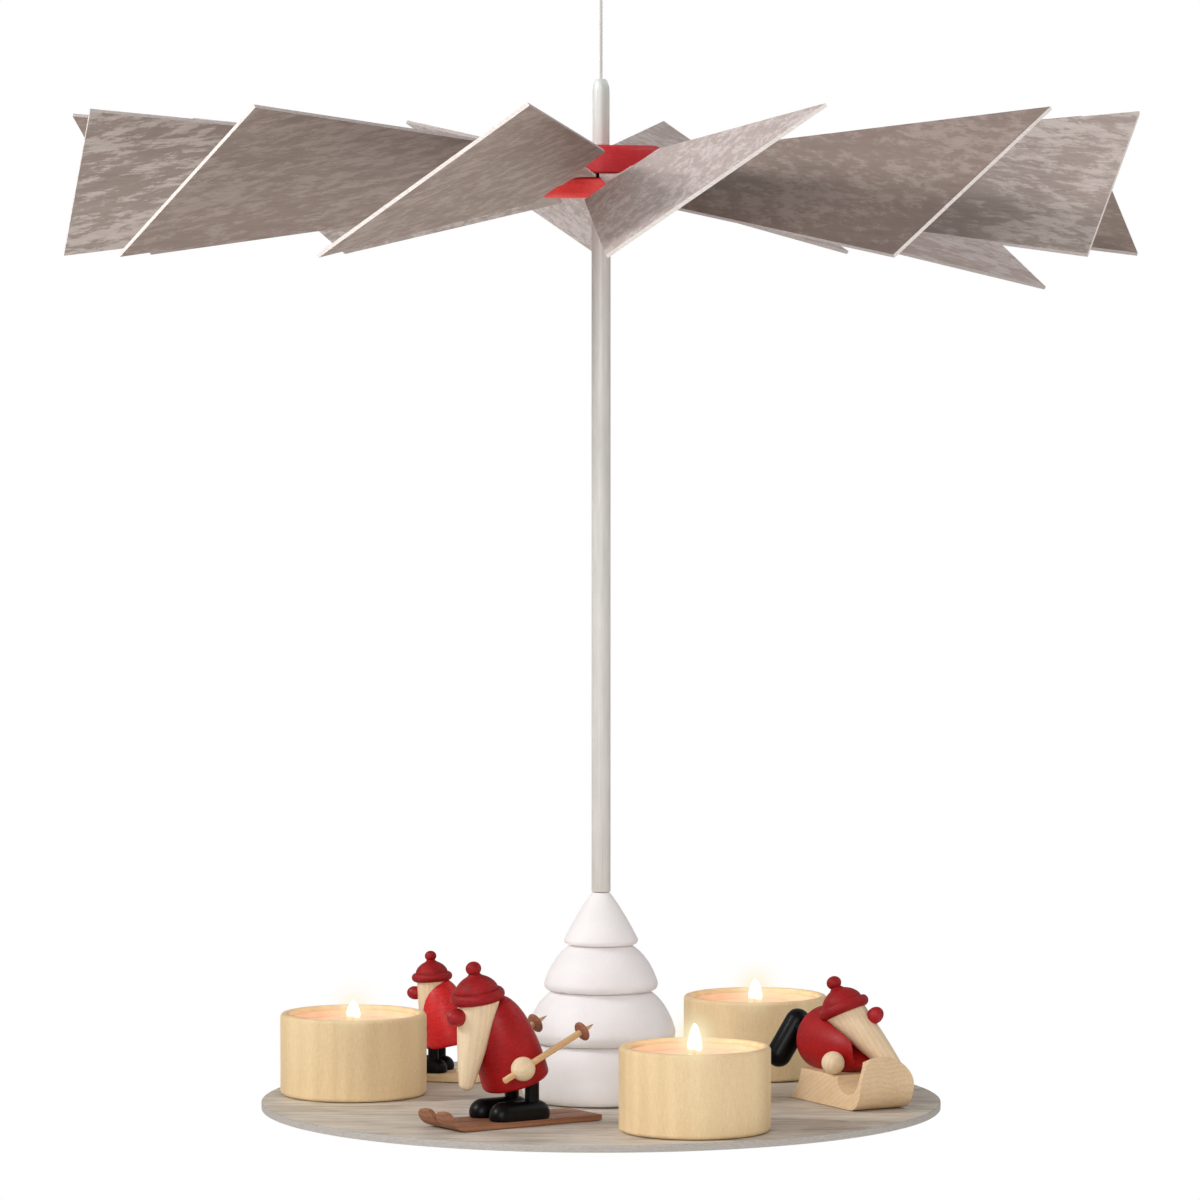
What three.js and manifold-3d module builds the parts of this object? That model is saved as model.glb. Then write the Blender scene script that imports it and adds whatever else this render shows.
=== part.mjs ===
// Hanging candle pyramid: a cord carries a slim rod with a twelve-blade fan wheel, a turned tree
// and a round plate with three tea lights and three small winter figures.
// Millimetres, +Z up. The origin is the point where a hook bears in the hanging eye.

import * as THREE from 'three';
import { mergeVertices } from 'three/addons/utils/BufferGeometryUtils.js';
import Module from 'manifold-3d';

const wasm = await Module();
wasm.setup();

// Gap left between pieces that touch
const SEAT = 0.3;

// Suspension
const EYE_OPENING = 12;
const EYE_WIRE = 2;
const FERRULE_DIAMETER = 3.6;
const FERRULE_LENGTH = 9;
const CORD_DIAMETER = 1.5;
const CORD_FREE_LENGTH = 44;
const CORD_HOLE_PLAY = 0.35;
const STOP_BALL_DIAMETER = 4.4;

// Rods
const UPPER_ROD_DIAMETER = 8;
const UPPER_ROD_LENGTH = 31;
const NOSE_LENGTH = 6.5;
const NOSE_TIP_DIAMETER = 4.4;
const NOSE_WALL = 6;
const LOWER_ROD_DIAMETER = 9;
const LOWER_ROD_LENGTH = 328.6;
const TENON_DIAMETER = 5.2;
const TENON_REACH = 8;

// Fan wheel
const HUB_DIAMETER = 57;
const HUB_LOWER_HEIGHT = 9.4;
const HUB_UPPER_HEIGHT = 13.1;
const HUB_EDGE_RADIUS = 3;
const HUB_INNER_EDGE_RADIUS = 1;
const BLADE_COUNT = 12;
const BLADE_START_DEG = -18.3;
const BLADE_PITCH_DEG = 34;
const BLADE_THICKNESS = 1.7;
const BLADE_TIP_RADIUS = 249;
const BLADE_TIP_WIDTH = 118.5;
const BLADE_TIP_DROOP = 3.9;
const LOW_BLADE = 6;
const LOW_BLADE_TIP_DROOP = 21;
const BLADE_ROOT_RADIUS = 48;
const BLADE_ROOT_WIDTH = 42;
const BLADE_NECK_WIDTH = 13.5;
const BLADE_NECK_FILLET = 4.3;
const BLADE_TONGUE_INNER_RADIUS = 12;
const BLADE_TONGUE_INNER_WIDTH = 5;

// Tree tiers, from the top tier down
const TIER_HEIGHTS = [24.7, 21.5, 24.2, 27.4];
const TIER_RADII = [17.6, 27.1, 35.5, 38];
const TIER_FOOT_INSETS = [2.4, 3.3, 4, 5];
const TIER_BELLY_HEIGHTS = [2.2, 3.4, 5, 9];
const TIER_BULGES = [0.08, 0.34, 0.36, 0.62];

// Plate and its screw
const PLATE_DIAMETER = 323;
const PLATE_THICKNESS = 3.4;
const PLATE_EDGE_CHAMFER = 0.4;
const SCREW_DIAMETER = 3;
const SCREW_HEAD_DIAMETER = 8;
const SCREW_REACH = 13;

// Candle holders and tea lights
const HOLDER_COUNT = 3;
const HOLDER_CIRCLE_RADIUS = 120;
const HOLDER_START_DEG = -99;
const HOLDER_DIAMETER = 70;
const HOLDER_HEIGHT = 39;
const HOLDER_RIM_WALL = 4.2;
const HOLDER_RIM_RADIUS = 1.8;
const HOLDER_FOOT_CHAMFER = 1.2;
const HOLDER_LIP = 2.4;
const CUP_HEIGHT = 24;
const CUP_WALL = 0.6;
const CUP_PLAY = 0.6;
const WAX_DEPTH = 20.4;
const WAX_DISH = 0.8;
const WICK_DIAMETER = 1.6;
const WICK_LENGTH = 7;

// Figures at size 1: hat, head with beard, coat, boots and hands
const HAT_RADIUS = 11.3;
const HAT_BRIM_ROLL = 2.3;
const HAT_DOME_RADIUS = 8.8;
const HAT_DOME_HEIGHT = 12.4;
const HAT_DOME_SEAT = 1.8;
const HAT_BRIM_END_DEG = 62;
const BOBBLE_RADIUS = 3.3;
const BOBBLE_LIFT = 0.72;
const BOBBLE_START_DEG = -46;
const BEARD_RADIUS = 9;
const BEARD_LENGTH = 39;
const BEARD_TAPER = 0.4;
const BEARD_CURVE = 0.3;
const BEARD_TIP_FORM = [[0.55, 0.16], [0.88, 0.5]];
const NOSE_RADIUS = 3.9;
const NOSE_DROP = 8;
const COAT_RADIUS = 15;
const COAT_LENGTH = 40;
const COAT_HEM_ROUND = 1.8;
const COAT_FULLNESS = 0.8;
const BOOT_LENGTH = 29.5;
const BOOT_WIDTH = 12;
const BOOT_CUT = 0.32;
const LEG_DIAMETER = 6.3;
const LEG_SET_BACK = 6.5;
const LEG_SHOW = 7.4;
const LEG_SPREAD = 16;
const HAND_RADIUS = 5.3;

// Skier
const SKIER_SIZE = 1.06;
const SKIER_X = -36.7;
const SKIER_Y = -84;
const SKIER_HEADING_DEG = 214;
const SKIER_COAT_LEAN_DEG = 18;
const SKIER_BEARD_LEAN_DEG = -10;
const SKIER_HAT_LEAN_DEG = 10;
const SKIER_HEM_FORWARD = 3;
const SKIER_HEAD_REACH = 4.6;
const SKIER_HEAD_SINK = 1.8;
const SKI_LENGTH = 84;
const SKI_REAR = 35;
const SKI_WIDTH = 14;
const SKI_GAP = 1;
const SKI_THICKNESS = 2.6;
const SKI_CURL_RADIUS = 10;
const SKI_CURL_DEG = 82;
const SKI_TIP_ROUND = 6.5;
const POLE_DIAMETER = 3;
const POLE_FRONT = 11.5;
const POLE_BASKET_AT = 36;
const POLE_BASKET_DIAMETER = 9.4;
const POLE_BASKET_THICKNESS = 2.8;
const POLE_TIP_LENGTH = 6;
const POLE_RISE_DEG = 25;
const SKIER_HAND_FORWARD = 11.5;
const SKIER_HAND_RISE = 8;
const SKIER_HAND_BED = 1.8;

// Sledder
const SLEDDER_SIZE = 1.03;
const SLED_X = 118.2;
const SLED_Y = -15.2;
const SLED_HEADING_DEG = -62;
const SLED_FLAT_LENGTH = 58.6;
const SLED_WIDTH = 29;
const SLED_SEAT_HEIGHT = 15;
const SLED_CURL_REACH = 10.5;
const SLED_CURL_RISE = 13;
const SLED_CURL_DEG = 65;
const SLED_CURL_FOOT_THICKNESS = 7;
const SLED_CURL_FRONT_THICKNESS = 2.8;
const SLED_CURL_LIP_THICKNESS = 2.5;
const SLED_NOTCH_REACH = 9.8;
const SLED_LIP_ROUND = 10;
const SLED_REAR_RAKE = 7;
const SLEDDER_HEM_BACK = 26;
const SLEDDER_BED = 1.5;
const SLEDDER_COAT_LEAN_DEG = 95;
const SLEDDER_BEARD_LEAN_DEG = -45;
const SLEDDER_HAT_LEAN_DEG = -24;
const SLEDDER_HEAD_TURN_DEG = 38;
const SLEDDER_HEAD_AHEAD = 21;
const SLEDDER_HEAD_RISE = 13;
const SLEDDER_LEG_SHOW = 9;
const SLEDDER_LEG_SPREAD = 20;
const SLEDDER_BOOT_LEAN_DEG = 97;
const SLEDDER_BOOT_SWING_DEG = 20;
const SLEDDER_LEFT_HAND_FORWARD = -9;
const SLEDDER_RIGHT_HAND_FORWARD = 8.5;

// Figure standing on a board
const RIDER_SIZE = 0.825;
const RIDER_X = -80;
const RIDER_Y = 78;
const RIDER_HEADING_DEG = 166;
const RIDER_COAT_LEAN_DEG = 12;
const RIDER_BEARD_LEAN_DEG = -4;
const RIDER_HAT_LEAN_DEG = 4;
const RIDER_HEM_FORWARD = -9;
const RIDER_HEAD_REACH = -3.2;
const RIDER_HEAD_SINK = 1.5;
const BOARD_LENGTH = 66;
const BOARD_WIDTH = 30;
const BOARD_THICKNESS = 3.4;

// Facets round a full turn
const SIDES_PLATE = 44;
const SIDES_TREE = 22;
const SIDES_HOLDER = 22;
const SIDES_CUP = 18;
const SIDES_HUB = 18;
const SIDES_ROD = 16;
const SIDES_CORD = 8;
const SIDES_FIGURE = 14;
const SIDES_SMALL = 10;

const WELD = 1e-4;
const QUARTER = Math.PI / 2;
const rad = THREE.MathUtils.degToRad;

// Finishes
const paint = (color, roughness, metalness = 0) =>
  new THREE.MeshStandardMaterial({ color, roughness, metalness });
const STEEL = paint(0xc9c9c7, 0.35, 1);
const CORD_FIBRE = paint(0xdddbd6, 0.8);
const ROD_METAL = paint(0xd5cfca, 0.4, 0.6);
const HUB_RED = paint(0xc8323a, 0.55);
const BLADE_GREY = paint(0x9b928c, 0.7);
const TREE_WHITE = paint(0xe8e3e3, 0.65);
const PLATE_GREY = paint(0xa79f96, 0.7);
const PALE_WOOD = paint(0xe8d0a4, 0.6);
const CUP_CLEAR = paint(0xe9dccb, 0.3);
const WAX = paint(0xf2dcc6, 0.5);
const COAT_RED = paint(0xb3222a, 0.6);
const HAT_RED = paint(0x9c2430, 0.6);
const BOOT_BLACK = paint(0x2d2b2d, 0.5);
const SKI_BROWN = paint(0x9a6248, 0.6);
const SLED_BEECH = paint(0xe0c7a6, 0.6);

// A closed surface with shared corners, no collapsed triangles and its faces pointing out
function welded(geometry) {
  geometry.deleteAttribute('normal');
  geometry.deleteAttribute('uv');
  const merged = mergeVertices(geometry, WELD);
  const index = merged.index.array;
  const kept = [];
  for (let i = 0; i < index.length; i += 3) {
    const [a, b, c] = [index[i], index[i + 1], index[i + 2]];
    if (a !== b && b !== c && c !== a) kept.push(a, b, c);
  }
  merged.setIndex(kept);
  return signedVolume(merged) < 0 ? flipped(merged) : merged;
}

function signedVolume(geometry) {
  const corners = geometry.attributes.position;
  const index = geometry.index.array;
  const [a, b, c] = [new THREE.Vector3(), new THREE.Vector3(), new THREE.Vector3()];
  let volume = 0;
  for (let i = 0; i < index.length; i += 3) {
    a.fromBufferAttribute(corners, index[i]);
    b.fromBufferAttribute(corners, index[i + 1]);
    c.fromBufferAttribute(corners, index[i + 2]);
    volume += a.dot(b.cross(c)) / 6;
  }
  return volume;
}

function flipped(geometry) {
  const index = geometry.index.array;
  const turnedIndex = [];
  for (let i = 0; i < index.length; i += 3) turnedIndex.push(index[i], index[i + 2], index[i + 1]);
  geometry.setIndex(turnedIndex);
  return geometry;
}

// Booleans between closed surfaces
function solid(geometry) {
  return new wasm.Manifold(new wasm.Mesh({
    numProp: 3,
    vertProperties: new Float32Array(geometry.attributes.position.array),
    triVerts: new Uint32Array(geometry.index.array),
  }));
}

function surface(manifold) {
  const mesh = manifold.getMesh();
  const geometry = new THREE.BufferGeometry();
  geometry.setAttribute('position', new THREE.BufferAttribute(new Float32Array(mesh.vertProperties), 3));
  geometry.setIndex(new THREE.BufferAttribute(new Uint32Array(mesh.triVerts), 1));
  return geometry;
}

function cut(geometry, ...tools) {
  return surface(tools.reduce((rest, tool) => rest.subtract(solid(tool)), solid(geometry)));
}

function shared(geometry, other) {
  return surface(solid(geometry).intersect(solid(other)));
}

function joined(geometry, ...others) {
  return surface(others.reduce((whole, other) => whole.add(solid(other)), solid(geometry)));
}

// A profile of [radius, height] pairs turned round +Z; it starts and ends on the axis
function turned(profile, sides) {
  const points = profile.map(([radius, height]) => new THREE.Vector2(radius, height));
  return welded(new THREE.LatheGeometry(points, sides).rotateX(QUARTER));
}

// The same for a profile that runs round a bore and closes on itself
function turnedRing(profile, sides) {
  return turned([...profile, profile[0]], sides);
}

// A profile moved out by a gap: the room that its turned piece needs
function widened(profile, gap) {
  const normals = profile.slice(1).map(([radius, height], i) => {
    const [lastRadius, lastHeight] = profile[i];
    return new THREE.Vector2(height - lastHeight, lastRadius - radius).normalize();
  });
  return profile.map(([radius, height], i) => {
    const after = normals[Math.min(i, normals.length - 1)];
    const mitre = normals[Math.max(i - 1, 0)].clone().add(after).normalize();
    const reach = gap / mitre.dot(after);
    return [radius < WELD ? 0 : radius + mitre.x * reach, height + mitre.y * reach];
  });
}

// Points of a round stretch of a profile, angles from +radius towards +height
function arc(centre, radius, fromDeg, toDeg, steps) {
  const points = [];
  for (let i = 0; i <= steps; i += 1) {
    const angle = rad(fromDeg + (toDeg - fromDeg) * i / steps);
    points.push([centre[0] + radius * Math.cos(angle), centre[1] + radius * Math.sin(angle)]);
  }
  return points;
}

// Points of a bowed stretch of a profile
function bow(from, control, to, steps) {
  const [a, b, c] = [from, control, to].map(([radius, height]) => new THREE.Vector2(radius, height));
  return new THREE.QuadraticBezierCurve(a, b, c).getPoints(steps).map((point) => [point.x, point.y]);
}

// A side outline in forward and up, drawn out to a width across
function drawnAcross(shape, width, curveSegments) {
  const options = { depth: width, bevelEnabled: false, steps: 1, curveSegments };
  const geometry = new THREE.ExtrudeGeometry(shape, options);
  return welded(geometry.translate(0, 0, -width / 2).rotateX(QUARTER));
}

// Leans a piece forward about its own foot and sets it at [forward, across, up]
function posed(geometry, leanDeg, [forward, across, up]) {
  return geometry.rotateY(rad(leanDeg)).translate(forward, across, up);
}

function piece(name, geometry, material) {
  const mesh = new THREE.Mesh(geometry, material);
  mesh.name = name;
  return mesh;
}

// Heights of the stack above the plate's top face
const TREE_TOP = TIER_HEIGHTS.reduce((sum, height) => sum + height + SEAT, 0);
const LOWER_ROD_FOOT = TREE_TOP + SEAT;
const LOWER_ROD_TOP = LOWER_ROD_FOOT + LOWER_ROD_LENGTH;
const HUB_LOWER_FOOT = LOWER_ROD_TOP + SEAT;
const BLADE_PLANE = HUB_LOWER_FOOT + HUB_LOWER_HEIGHT + SEAT + BLADE_THICKNESS / 2;
const HUB_UPPER_FOOT = BLADE_PLANE + BLADE_THICKNESS / 2 + SEAT;
const HUB_TOP = HUB_UPPER_FOOT + HUB_UPPER_HEIGHT;
const UPPER_ROD_FOOT = HUB_TOP + SEAT;
const ROD_TOP = UPPER_ROD_FOOT + UPPER_ROD_LENGTH;

// Heights of the suspension below the hook
const FERRULE_FOOT = -EYE_OPENING - EYE_WIRE / 2 - FERRULE_LENGTH;
const PLATE_TOP = FERRULE_FOOT - CORD_FREE_LENGTH - ROD_TOP;

// Bores shared by the pieces on the rod
const BORE_RADIUS = TENON_DIAMETER / 2 + SEAT;
const CORD_HOLE_RADIUS = CORD_DIAMETER / 2 + CORD_HOLE_PLAY;
const SWIVEL_CONE_TOP = ROD_TOP - NOSE_WALL;
const SWIVEL_CONE_FOOT = SWIVEL_CONE_TOP - (BORE_RADIUS - CORD_HOLE_RADIUS);
const STOP_BALL_CENTRE = SWIVEL_CONE_FOOT + BORE_RADIUS - (STOP_BALL_DIAMETER / 2 + SEAT) * Math.SQRT2;

// Suspension: a crimped eye, the cord and the ball that the rod swivels on
function hangingEye() {
  const wireRadius = EYE_WIRE / 2;
  const ringRadius = (EYE_OPENING + EYE_WIRE) / 2;
  const ring = welded(new THREE.TorusGeometry(ringRadius, wireRadius, SIDES_CORD, 2 * SIDES_SMALL));
  ring.rotateX(QUARTER).translate(0, 0, -EYE_OPENING / 2);
  const radius = FERRULE_DIAMETER / 2;
  const chamfer = radius / 4;
  const barrel = turned([
    [0, FERRULE_FOOT],
    [radius - chamfer, FERRULE_FOOT],
    [radius, FERRULE_FOOT + chamfer],
    [radius, FERRULE_FOOT + FERRULE_LENGTH - radius],
    [wireRadius, FERRULE_FOOT + FERRULE_LENGTH],
    [0, FERRULE_FOOT + FERRULE_LENGTH],
  ], SIDES_SMALL);
  return joined(ring, barrel);
}

function hangingCord() {
  const foot = PLATE_TOP + STOP_BALL_CENTRE + STOP_BALL_DIAMETER / 2 + SEAT;
  const top = FERRULE_FOOT - SEAT;
  const section = new THREE.Shape().absarc(0, 0, CORD_DIAMETER / 2, 0, 2 * Math.PI);
  const geometry = new THREE.ExtrudeGeometry(section, {
    extrudePath: new THREE.LineCurve3(new THREE.Vector3(0, 0, foot), new THREE.Vector3(0, 0, top)),
    steps: Math.ceil((top - foot) / (3 * CORD_DIAMETER)),
    curveSegments: SIDES_CORD / 2,
    bevelEnabled: false,
  });
  return welded(geometry);
}

function stopBall() {
  const ball = new THREE.SphereGeometry(STOP_BALL_DIAMETER / 2, SIDES_SMALL, SIDES_CORD);
  return welded(ball.rotateX(QUARTER)).translate(0, 0, PLATE_TOP + STOP_BALL_CENTRE);
}

function suspension() {
  const group = new THREE.Group();
  group.add(piece('hanging_eye', hangingEye(), STEEL));
  group.add(piece('hanging_cord', hangingCord(), CORD_FIBRE));
  group.add(piece('cord_stop_ball', stopBall(), STEEL));
  return group;
}

// The upper rod is a tube: its bore takes the lower rod's tenon and narrows to a seat for the ball
function upperRod() {
  const radius = UPPER_ROD_DIAMETER / 2;
  const tip = NOSE_TIP_DIAMETER / 2;
  const shoulder = ROD_TOP - NOSE_LENGTH;
  return turnedRing([
    [BORE_RADIUS, UPPER_ROD_FOOT],
    [radius, UPPER_ROD_FOOT],
    ...bow([radius, shoulder], [radius, ROD_TOP - NOSE_LENGTH / 3], [tip, ROD_TOP], 5),
    [CORD_HOLE_RADIUS, ROD_TOP],
    [CORD_HOLE_RADIUS, SWIVEL_CONE_TOP],
    [BORE_RADIUS, SWIVEL_CONE_FOOT],
  ], SIDES_ROD);
}

// The lower rod has a tenon at each end, and its foot is bored for the plate's screw
function lowerRod() {
  const radius = LOWER_ROD_DIAMETER / 2;
  const tenon = TENON_DIAMETER / 2;
  const pilot = SCREW_DIAMETER / 2 + SEAT;
  const foot = SEAT;
  const tenonTop = HUB_TOP + TENON_REACH;
  return turned([
    [0, SCREW_REACH + SEAT],
    [pilot, SCREW_REACH + SEAT],
    [pilot, foot],
    [tenon, foot],
    [tenon, LOWER_ROD_FOOT],
    [radius, LOWER_ROD_FOOT],
    [radius, LOWER_ROD_TOP],
    [tenon, LOWER_ROD_TOP],
    [tenon, tenonTop],
    [0, tenonTop],
  ], SIDES_ROD);
}

// Hub discs that clamp the blades' tongues, with rounded outer edges
function hubDisc(foot, height, footRound, topRound) {
  const radius = HUB_DIAMETER / 2;
  return turnedRing([
    [BORE_RADIUS, foot],
    ...arc([radius - footRound, foot + footRound], footRound, -90, 0, 3),
    ...arc([radius - topRound, foot + height - topRound], topRound, 0, 90, 3),
    [BORE_RADIUS, foot + height],
  ], SIDES_HUB);
}

// Radius and width of a blade from its clamped tongue, along the neck, to its tip
function bladeStations() {
  const hubRadius = HUB_DIAMETER / 2;
  const neckEnd = BLADE_ROOT_RADIUS - BLADE_NECK_FILLET;
  const neckSteps = 6;
  const filletSteps = 4;
  const stations = [[BLADE_TONGUE_INNER_RADIUS, BLADE_TONGUE_INNER_WIDTH]];
  for (let i = 0; i <= neckSteps; i += 1) {
    stations.push([hubRadius + (neckEnd - hubRadius) * i / neckSteps, BLADE_NECK_WIDTH]);
  }
  for (let i = 1; i <= filletSteps; i += 1) {
    const angle = QUARTER * i / filletSteps;
    const radius = neckEnd + (BLADE_NECK_FILLET - SEAT) * Math.sin(angle);
    stations.push([radius, BLADE_NECK_WIDTH + 2 * BLADE_NECK_FILLET * (1 - Math.cos(angle))]);
  }
  stations.push([BLADE_ROOT_RADIUS, BLADE_ROOT_WIDTH], [BLADE_TIP_RADIUS, BLADE_TIP_WIDTH]);
  return stations;
}

// Twist of the sheet at a radius: flat in the hub, at full pitch where the neck ends
function bladeTwist(radius) {
  const start = HUB_DIAMETER / 2;
  const end = BLADE_ROOT_RADIUS - BLADE_NECK_FILLET;
  return rad(BLADE_PITCH_DEG) * THREE.MathUtils.smoothstep(radius, start, end);
}

// How far the sheet has fallen at a radius
function bladeDroop(radius, tipDroop) {
  const start = HUB_DIAMETER / 2;
  return tipDroop * Math.max(0, radius - start) / (BLADE_TIP_RADIUS - start);
}

// One blade along -Y: a thin sheet with a twisted neck, as four corners at each station
function blade(tipDroop) {
  const half = BLADE_THICKNESS / 2;
  const corners = [];
  for (const [radius, width] of bladeStations()) {
    const twist = bladeTwist(radius);
    const [across, up] = [Math.cos(twist), Math.sin(twist)];
    for (const [side, face] of [[-1, -1], [1, -1], [1, 1], [-1, 1]]) {
      const [s, t] = [side * width / 2, face * half];
      corners.push(s * across - t * up, -radius, s * up + t * across - bladeDroop(radius, tipDroop));
    }
  }
  const last = corners.length / 3 - 4;
  const index = [0, 1, 2, 0, 2, 3, last, last + 2, last + 1, last, last + 3, last + 2];
  for (let row = 0; row < last; row += 4) {
    for (let i = 0; i < 4; i += 1) {
      const [a, b] = [row + i, row + (i + 1) % 4];
      index.push(a, a + 4, b, b, a + 4, b + 4);
    }
  }
  const geometry = new THREE.BufferGeometry();
  geometry.setAttribute('position', new THREE.Float32BufferAttribute(corners, 3));
  geometry.setIndex(index);
  return welded(geometry);
}

function fanWheel() {
  const group = new THREE.Group();
  const lower = hubDisc(HUB_LOWER_FOOT, HUB_LOWER_HEIGHT, HUB_EDGE_RADIUS, HUB_INNER_EDGE_RADIUS);
  const upper = hubDisc(HUB_UPPER_FOOT, HUB_UPPER_HEIGHT, HUB_INNER_EDGE_RADIUS, HUB_EDGE_RADIUS);
  group.add(piece('hub_lower_disc', lower, HUB_RED), piece('hub_upper_disc', upper, HUB_RED));
  for (let i = 0; i < BLADE_COUNT; i += 1) {
    const tipDroop = i + 1 === LOW_BLADE ? LOW_BLADE_TIP_DROOP : BLADE_TIP_DROOP;
    const mesh = piece(`blade_${String(i + 1).padStart(2, '0')}`, blade(tipDroop), BLADE_GREY);
    mesh.position.z = BLADE_PLANE;
    mesh.rotation.z = rad(BLADE_START_DEG + 360 * i / BLADE_COUNT);
    group.add(mesh);
  }
  return group;
}

// A tree tier swells from its narrow top to a belly and tucks in at its foot
function treeTier(i, foot) {
  const belly = [TIER_RADII[i], foot + TIER_BELLY_HEIGHTS[i]];
  const footRadius = TIER_RADII[i] - TIER_FOOT_INSETS[i];
  const topRadius = i === 0 ? LOWER_ROD_DIAMETER / 2 : TIER_RADII[i - 1] - TIER_FOOT_INSETS[i - 1];
  const top = [topRadius, foot + TIER_HEIGHTS[i]];
  const middle = [(belly[0] + top[0]) / 2, (belly[1] + top[1]) / 2];
  const corner = [belly[0], top[1]];
  const control = middle.map((value, axis) => value + (corner[axis] - value) * TIER_BULGES[i]);
  return turnedRing([
    [BORE_RADIUS, foot],
    ...bow([footRadius, foot], [belly[0], foot], belly, 3),
    ...bow(belly, control, top, 5).slice(1),
    [BORE_RADIUS, top[1]],
  ], SIDES_TREE);
}

function tree() {
  const group = new THREE.Group();
  let foot = SEAT;
  for (let i = TIER_HEIGHTS.length - 1; i >= 0; i -= 1) {
    group.add(piece(`tree_tier_${i + 1}`, treeTier(i, foot), TREE_WHITE));
    foot += TIER_HEIGHTS[i] + SEAT;
  }
  return group;
}

// Plate with a countersunk hole, and the screw that pulls the tree and rod down on it
function plate() {
  const radius = PLATE_DIAMETER / 2;
  const edge = PLATE_EDGE_CHAMFER;
  const hole = SCREW_DIAMETER / 2 + SEAT;
  const sink = SCREW_HEAD_DIAMETER / 2 + SEAT;
  return turnedRing([
    [sink, -PLATE_THICKNESS],
    [radius - edge, -PLATE_THICKNESS],
    [radius, edge - PLATE_THICKNESS],
    [radius, -edge],
    [radius - edge, 0],
    [hole, 0],
    [hole, sink - hole - PLATE_THICKNESS],
  ], SIDES_PLATE);
}

function plateScrew() {
  const shank = SCREW_DIAMETER / 2;
  const head = SCREW_HEAD_DIAMETER / 2;
  return turned([
    [0, -PLATE_THICKNESS],
    [head, -PLATE_THICKNESS],
    [shank, head - shank - PLATE_THICKNESS],
    [shank, SCREW_REACH - shank],
    [0, SCREW_REACH],
  ], SIDES_SMALL);
}

// Candle holder, tea-light cup and candle, one above the other
const HOLDER_BORE_RADIUS = HOLDER_DIAMETER / 2 - HOLDER_RIM_WALL;
const HOLDER_FLOOR = SEAT + HOLDER_HEIGHT - HOLDER_LIP - CUP_HEIGHT - SEAT;
const CUP_RADIUS = HOLDER_BORE_RADIUS - CUP_PLAY;
const CUP_FOOT = HOLDER_FLOOR + SEAT;

function holder() {
  const radius = HOLDER_DIAMETER / 2;
  const top = SEAT + HOLDER_HEIGHT;
  const round = HOLDER_RIM_RADIUS;
  return turned([
    [0, SEAT],
    [radius - HOLDER_FOOT_CHAMFER, SEAT],
    [radius, SEAT + HOLDER_FOOT_CHAMFER],
    ...arc([radius - round, top - round], round, 0, 90, 3),
    ...arc([HOLDER_BORE_RADIUS + round, top - round], round, 90, 180, 3),
    [HOLDER_BORE_RADIUS, HOLDER_FLOOR],
    [0, HOLDER_FLOOR],
  ], SIDES_HOLDER);
}

function teaLightCup() {
  const inner = CUP_RADIUS - CUP_WALL;
  return turned([
    [0, CUP_FOOT],
    [CUP_RADIUS, CUP_FOOT],
    [CUP_RADIUS, CUP_FOOT + CUP_HEIGHT],
    [inner, CUP_FOOT + CUP_HEIGHT],
    [inner, CUP_FOOT + CUP_WALL],
    [0, CUP_FOOT + CUP_WALL],
  ], SIDES_CUP);
}

function candle() {
  const foot = CUP_FOOT + CUP_WALL + SEAT;
  const top = foot + WAX_DEPTH;
  const radius = CUP_RADIUS - CUP_WALL - SEAT;
  const wick = WICK_DIAMETER / 2;
  return turned([
    [0, foot],
    [radius, foot],
    [radius, top],
    [radius - WAX_DISH, top - WAX_DISH / 2],
    [radius / 2, top - WAX_DISH],
    [wick, top - WAX_DISH],
    [wick, top + WICK_LENGTH],
    [0, top + WICK_LENGTH],
  ], SIDES_CUP);
}

function candleHolders() {
  const ring = new THREE.Group();
  for (let i = 0; i < HOLDER_COUNT; i += 1) {
    const angle = rad(HOLDER_START_DEG + 360 * i / HOLDER_COUNT);
    const station = new THREE.Group();
    station.position.set(Math.sin(angle), -Math.cos(angle), 0).multiplyScalar(HOLDER_CIRCLE_RADIUS);
    station.add(piece(`candle_holder_${i + 1}`, holder(), PALE_WOOD));
    station.add(piece(`tea_light_cup_${i + 1}`, teaLightCup(), CUP_CLEAR));
    station.add(piece(`candle_${i + 1}`, candle(), WAX));
    ring.add(station);
  }
  return ring;
}

// Profiles of the figures' turned pieces, each from the axis at its foot to the axis at its top
function hatProfile(size) {
  const roll = HAT_BRIM_ROLL * size;
  const brim = [HAT_RADIUS * size - roll, roll];
  const dome = HAT_DOME_RADIUS * size;
  const domeFoot = HAT_DOME_SEAT * roll;
  const domeTop = HAT_DOME_HEIGHT * size;
  const bobble = BOBBLE_RADIUS * size;
  const domeSteps = 4;
  const domeEnd = 0.8 * QUARTER;
  const profile = [[0, 0], ...arc(brim, roll, -90, HAT_BRIM_END_DEG, 4)];
  for (let i = 0; i < domeSteps; i += 1) {
    const angle = domeEnd * i / domeSteps;
    profile.push([dome * Math.cos(angle), domeFoot + (domeTop - domeFoot) * Math.sin(angle)]);
  }
  return [...profile, ...arc([0, domeTop + BOBBLE_LIFT * bobble], bobble, BOBBLE_START_DEG, 90, 4)];
}

const beardRadiusAt = (share) => BEARD_RADIUS * (1 - BEARD_TAPER * share - BEARD_CURVE * share * share);

function beardProfile(size) {
  const length = BEARD_LENGTH * size;
  const steps = 4;
  const spare = BEARD_RADIUS * size / 2;
  const tip = beardRadiusAt(1) * size;
  const rounding = BEARD_TIP_FORM.map(([out, up]) => [out * tip, up * tip - length]);
  const profile = [[0, -length], ...rounding];
  for (let i = steps; i >= 0; i -= 1) {
    const share = i / steps * (1 - tip / length);
    profile.push([beardRadiusAt(share) * size, -share * length]);
  }
  return [...profile, [BEARD_RADIUS * size, spare], [0, spare]];
}

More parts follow.
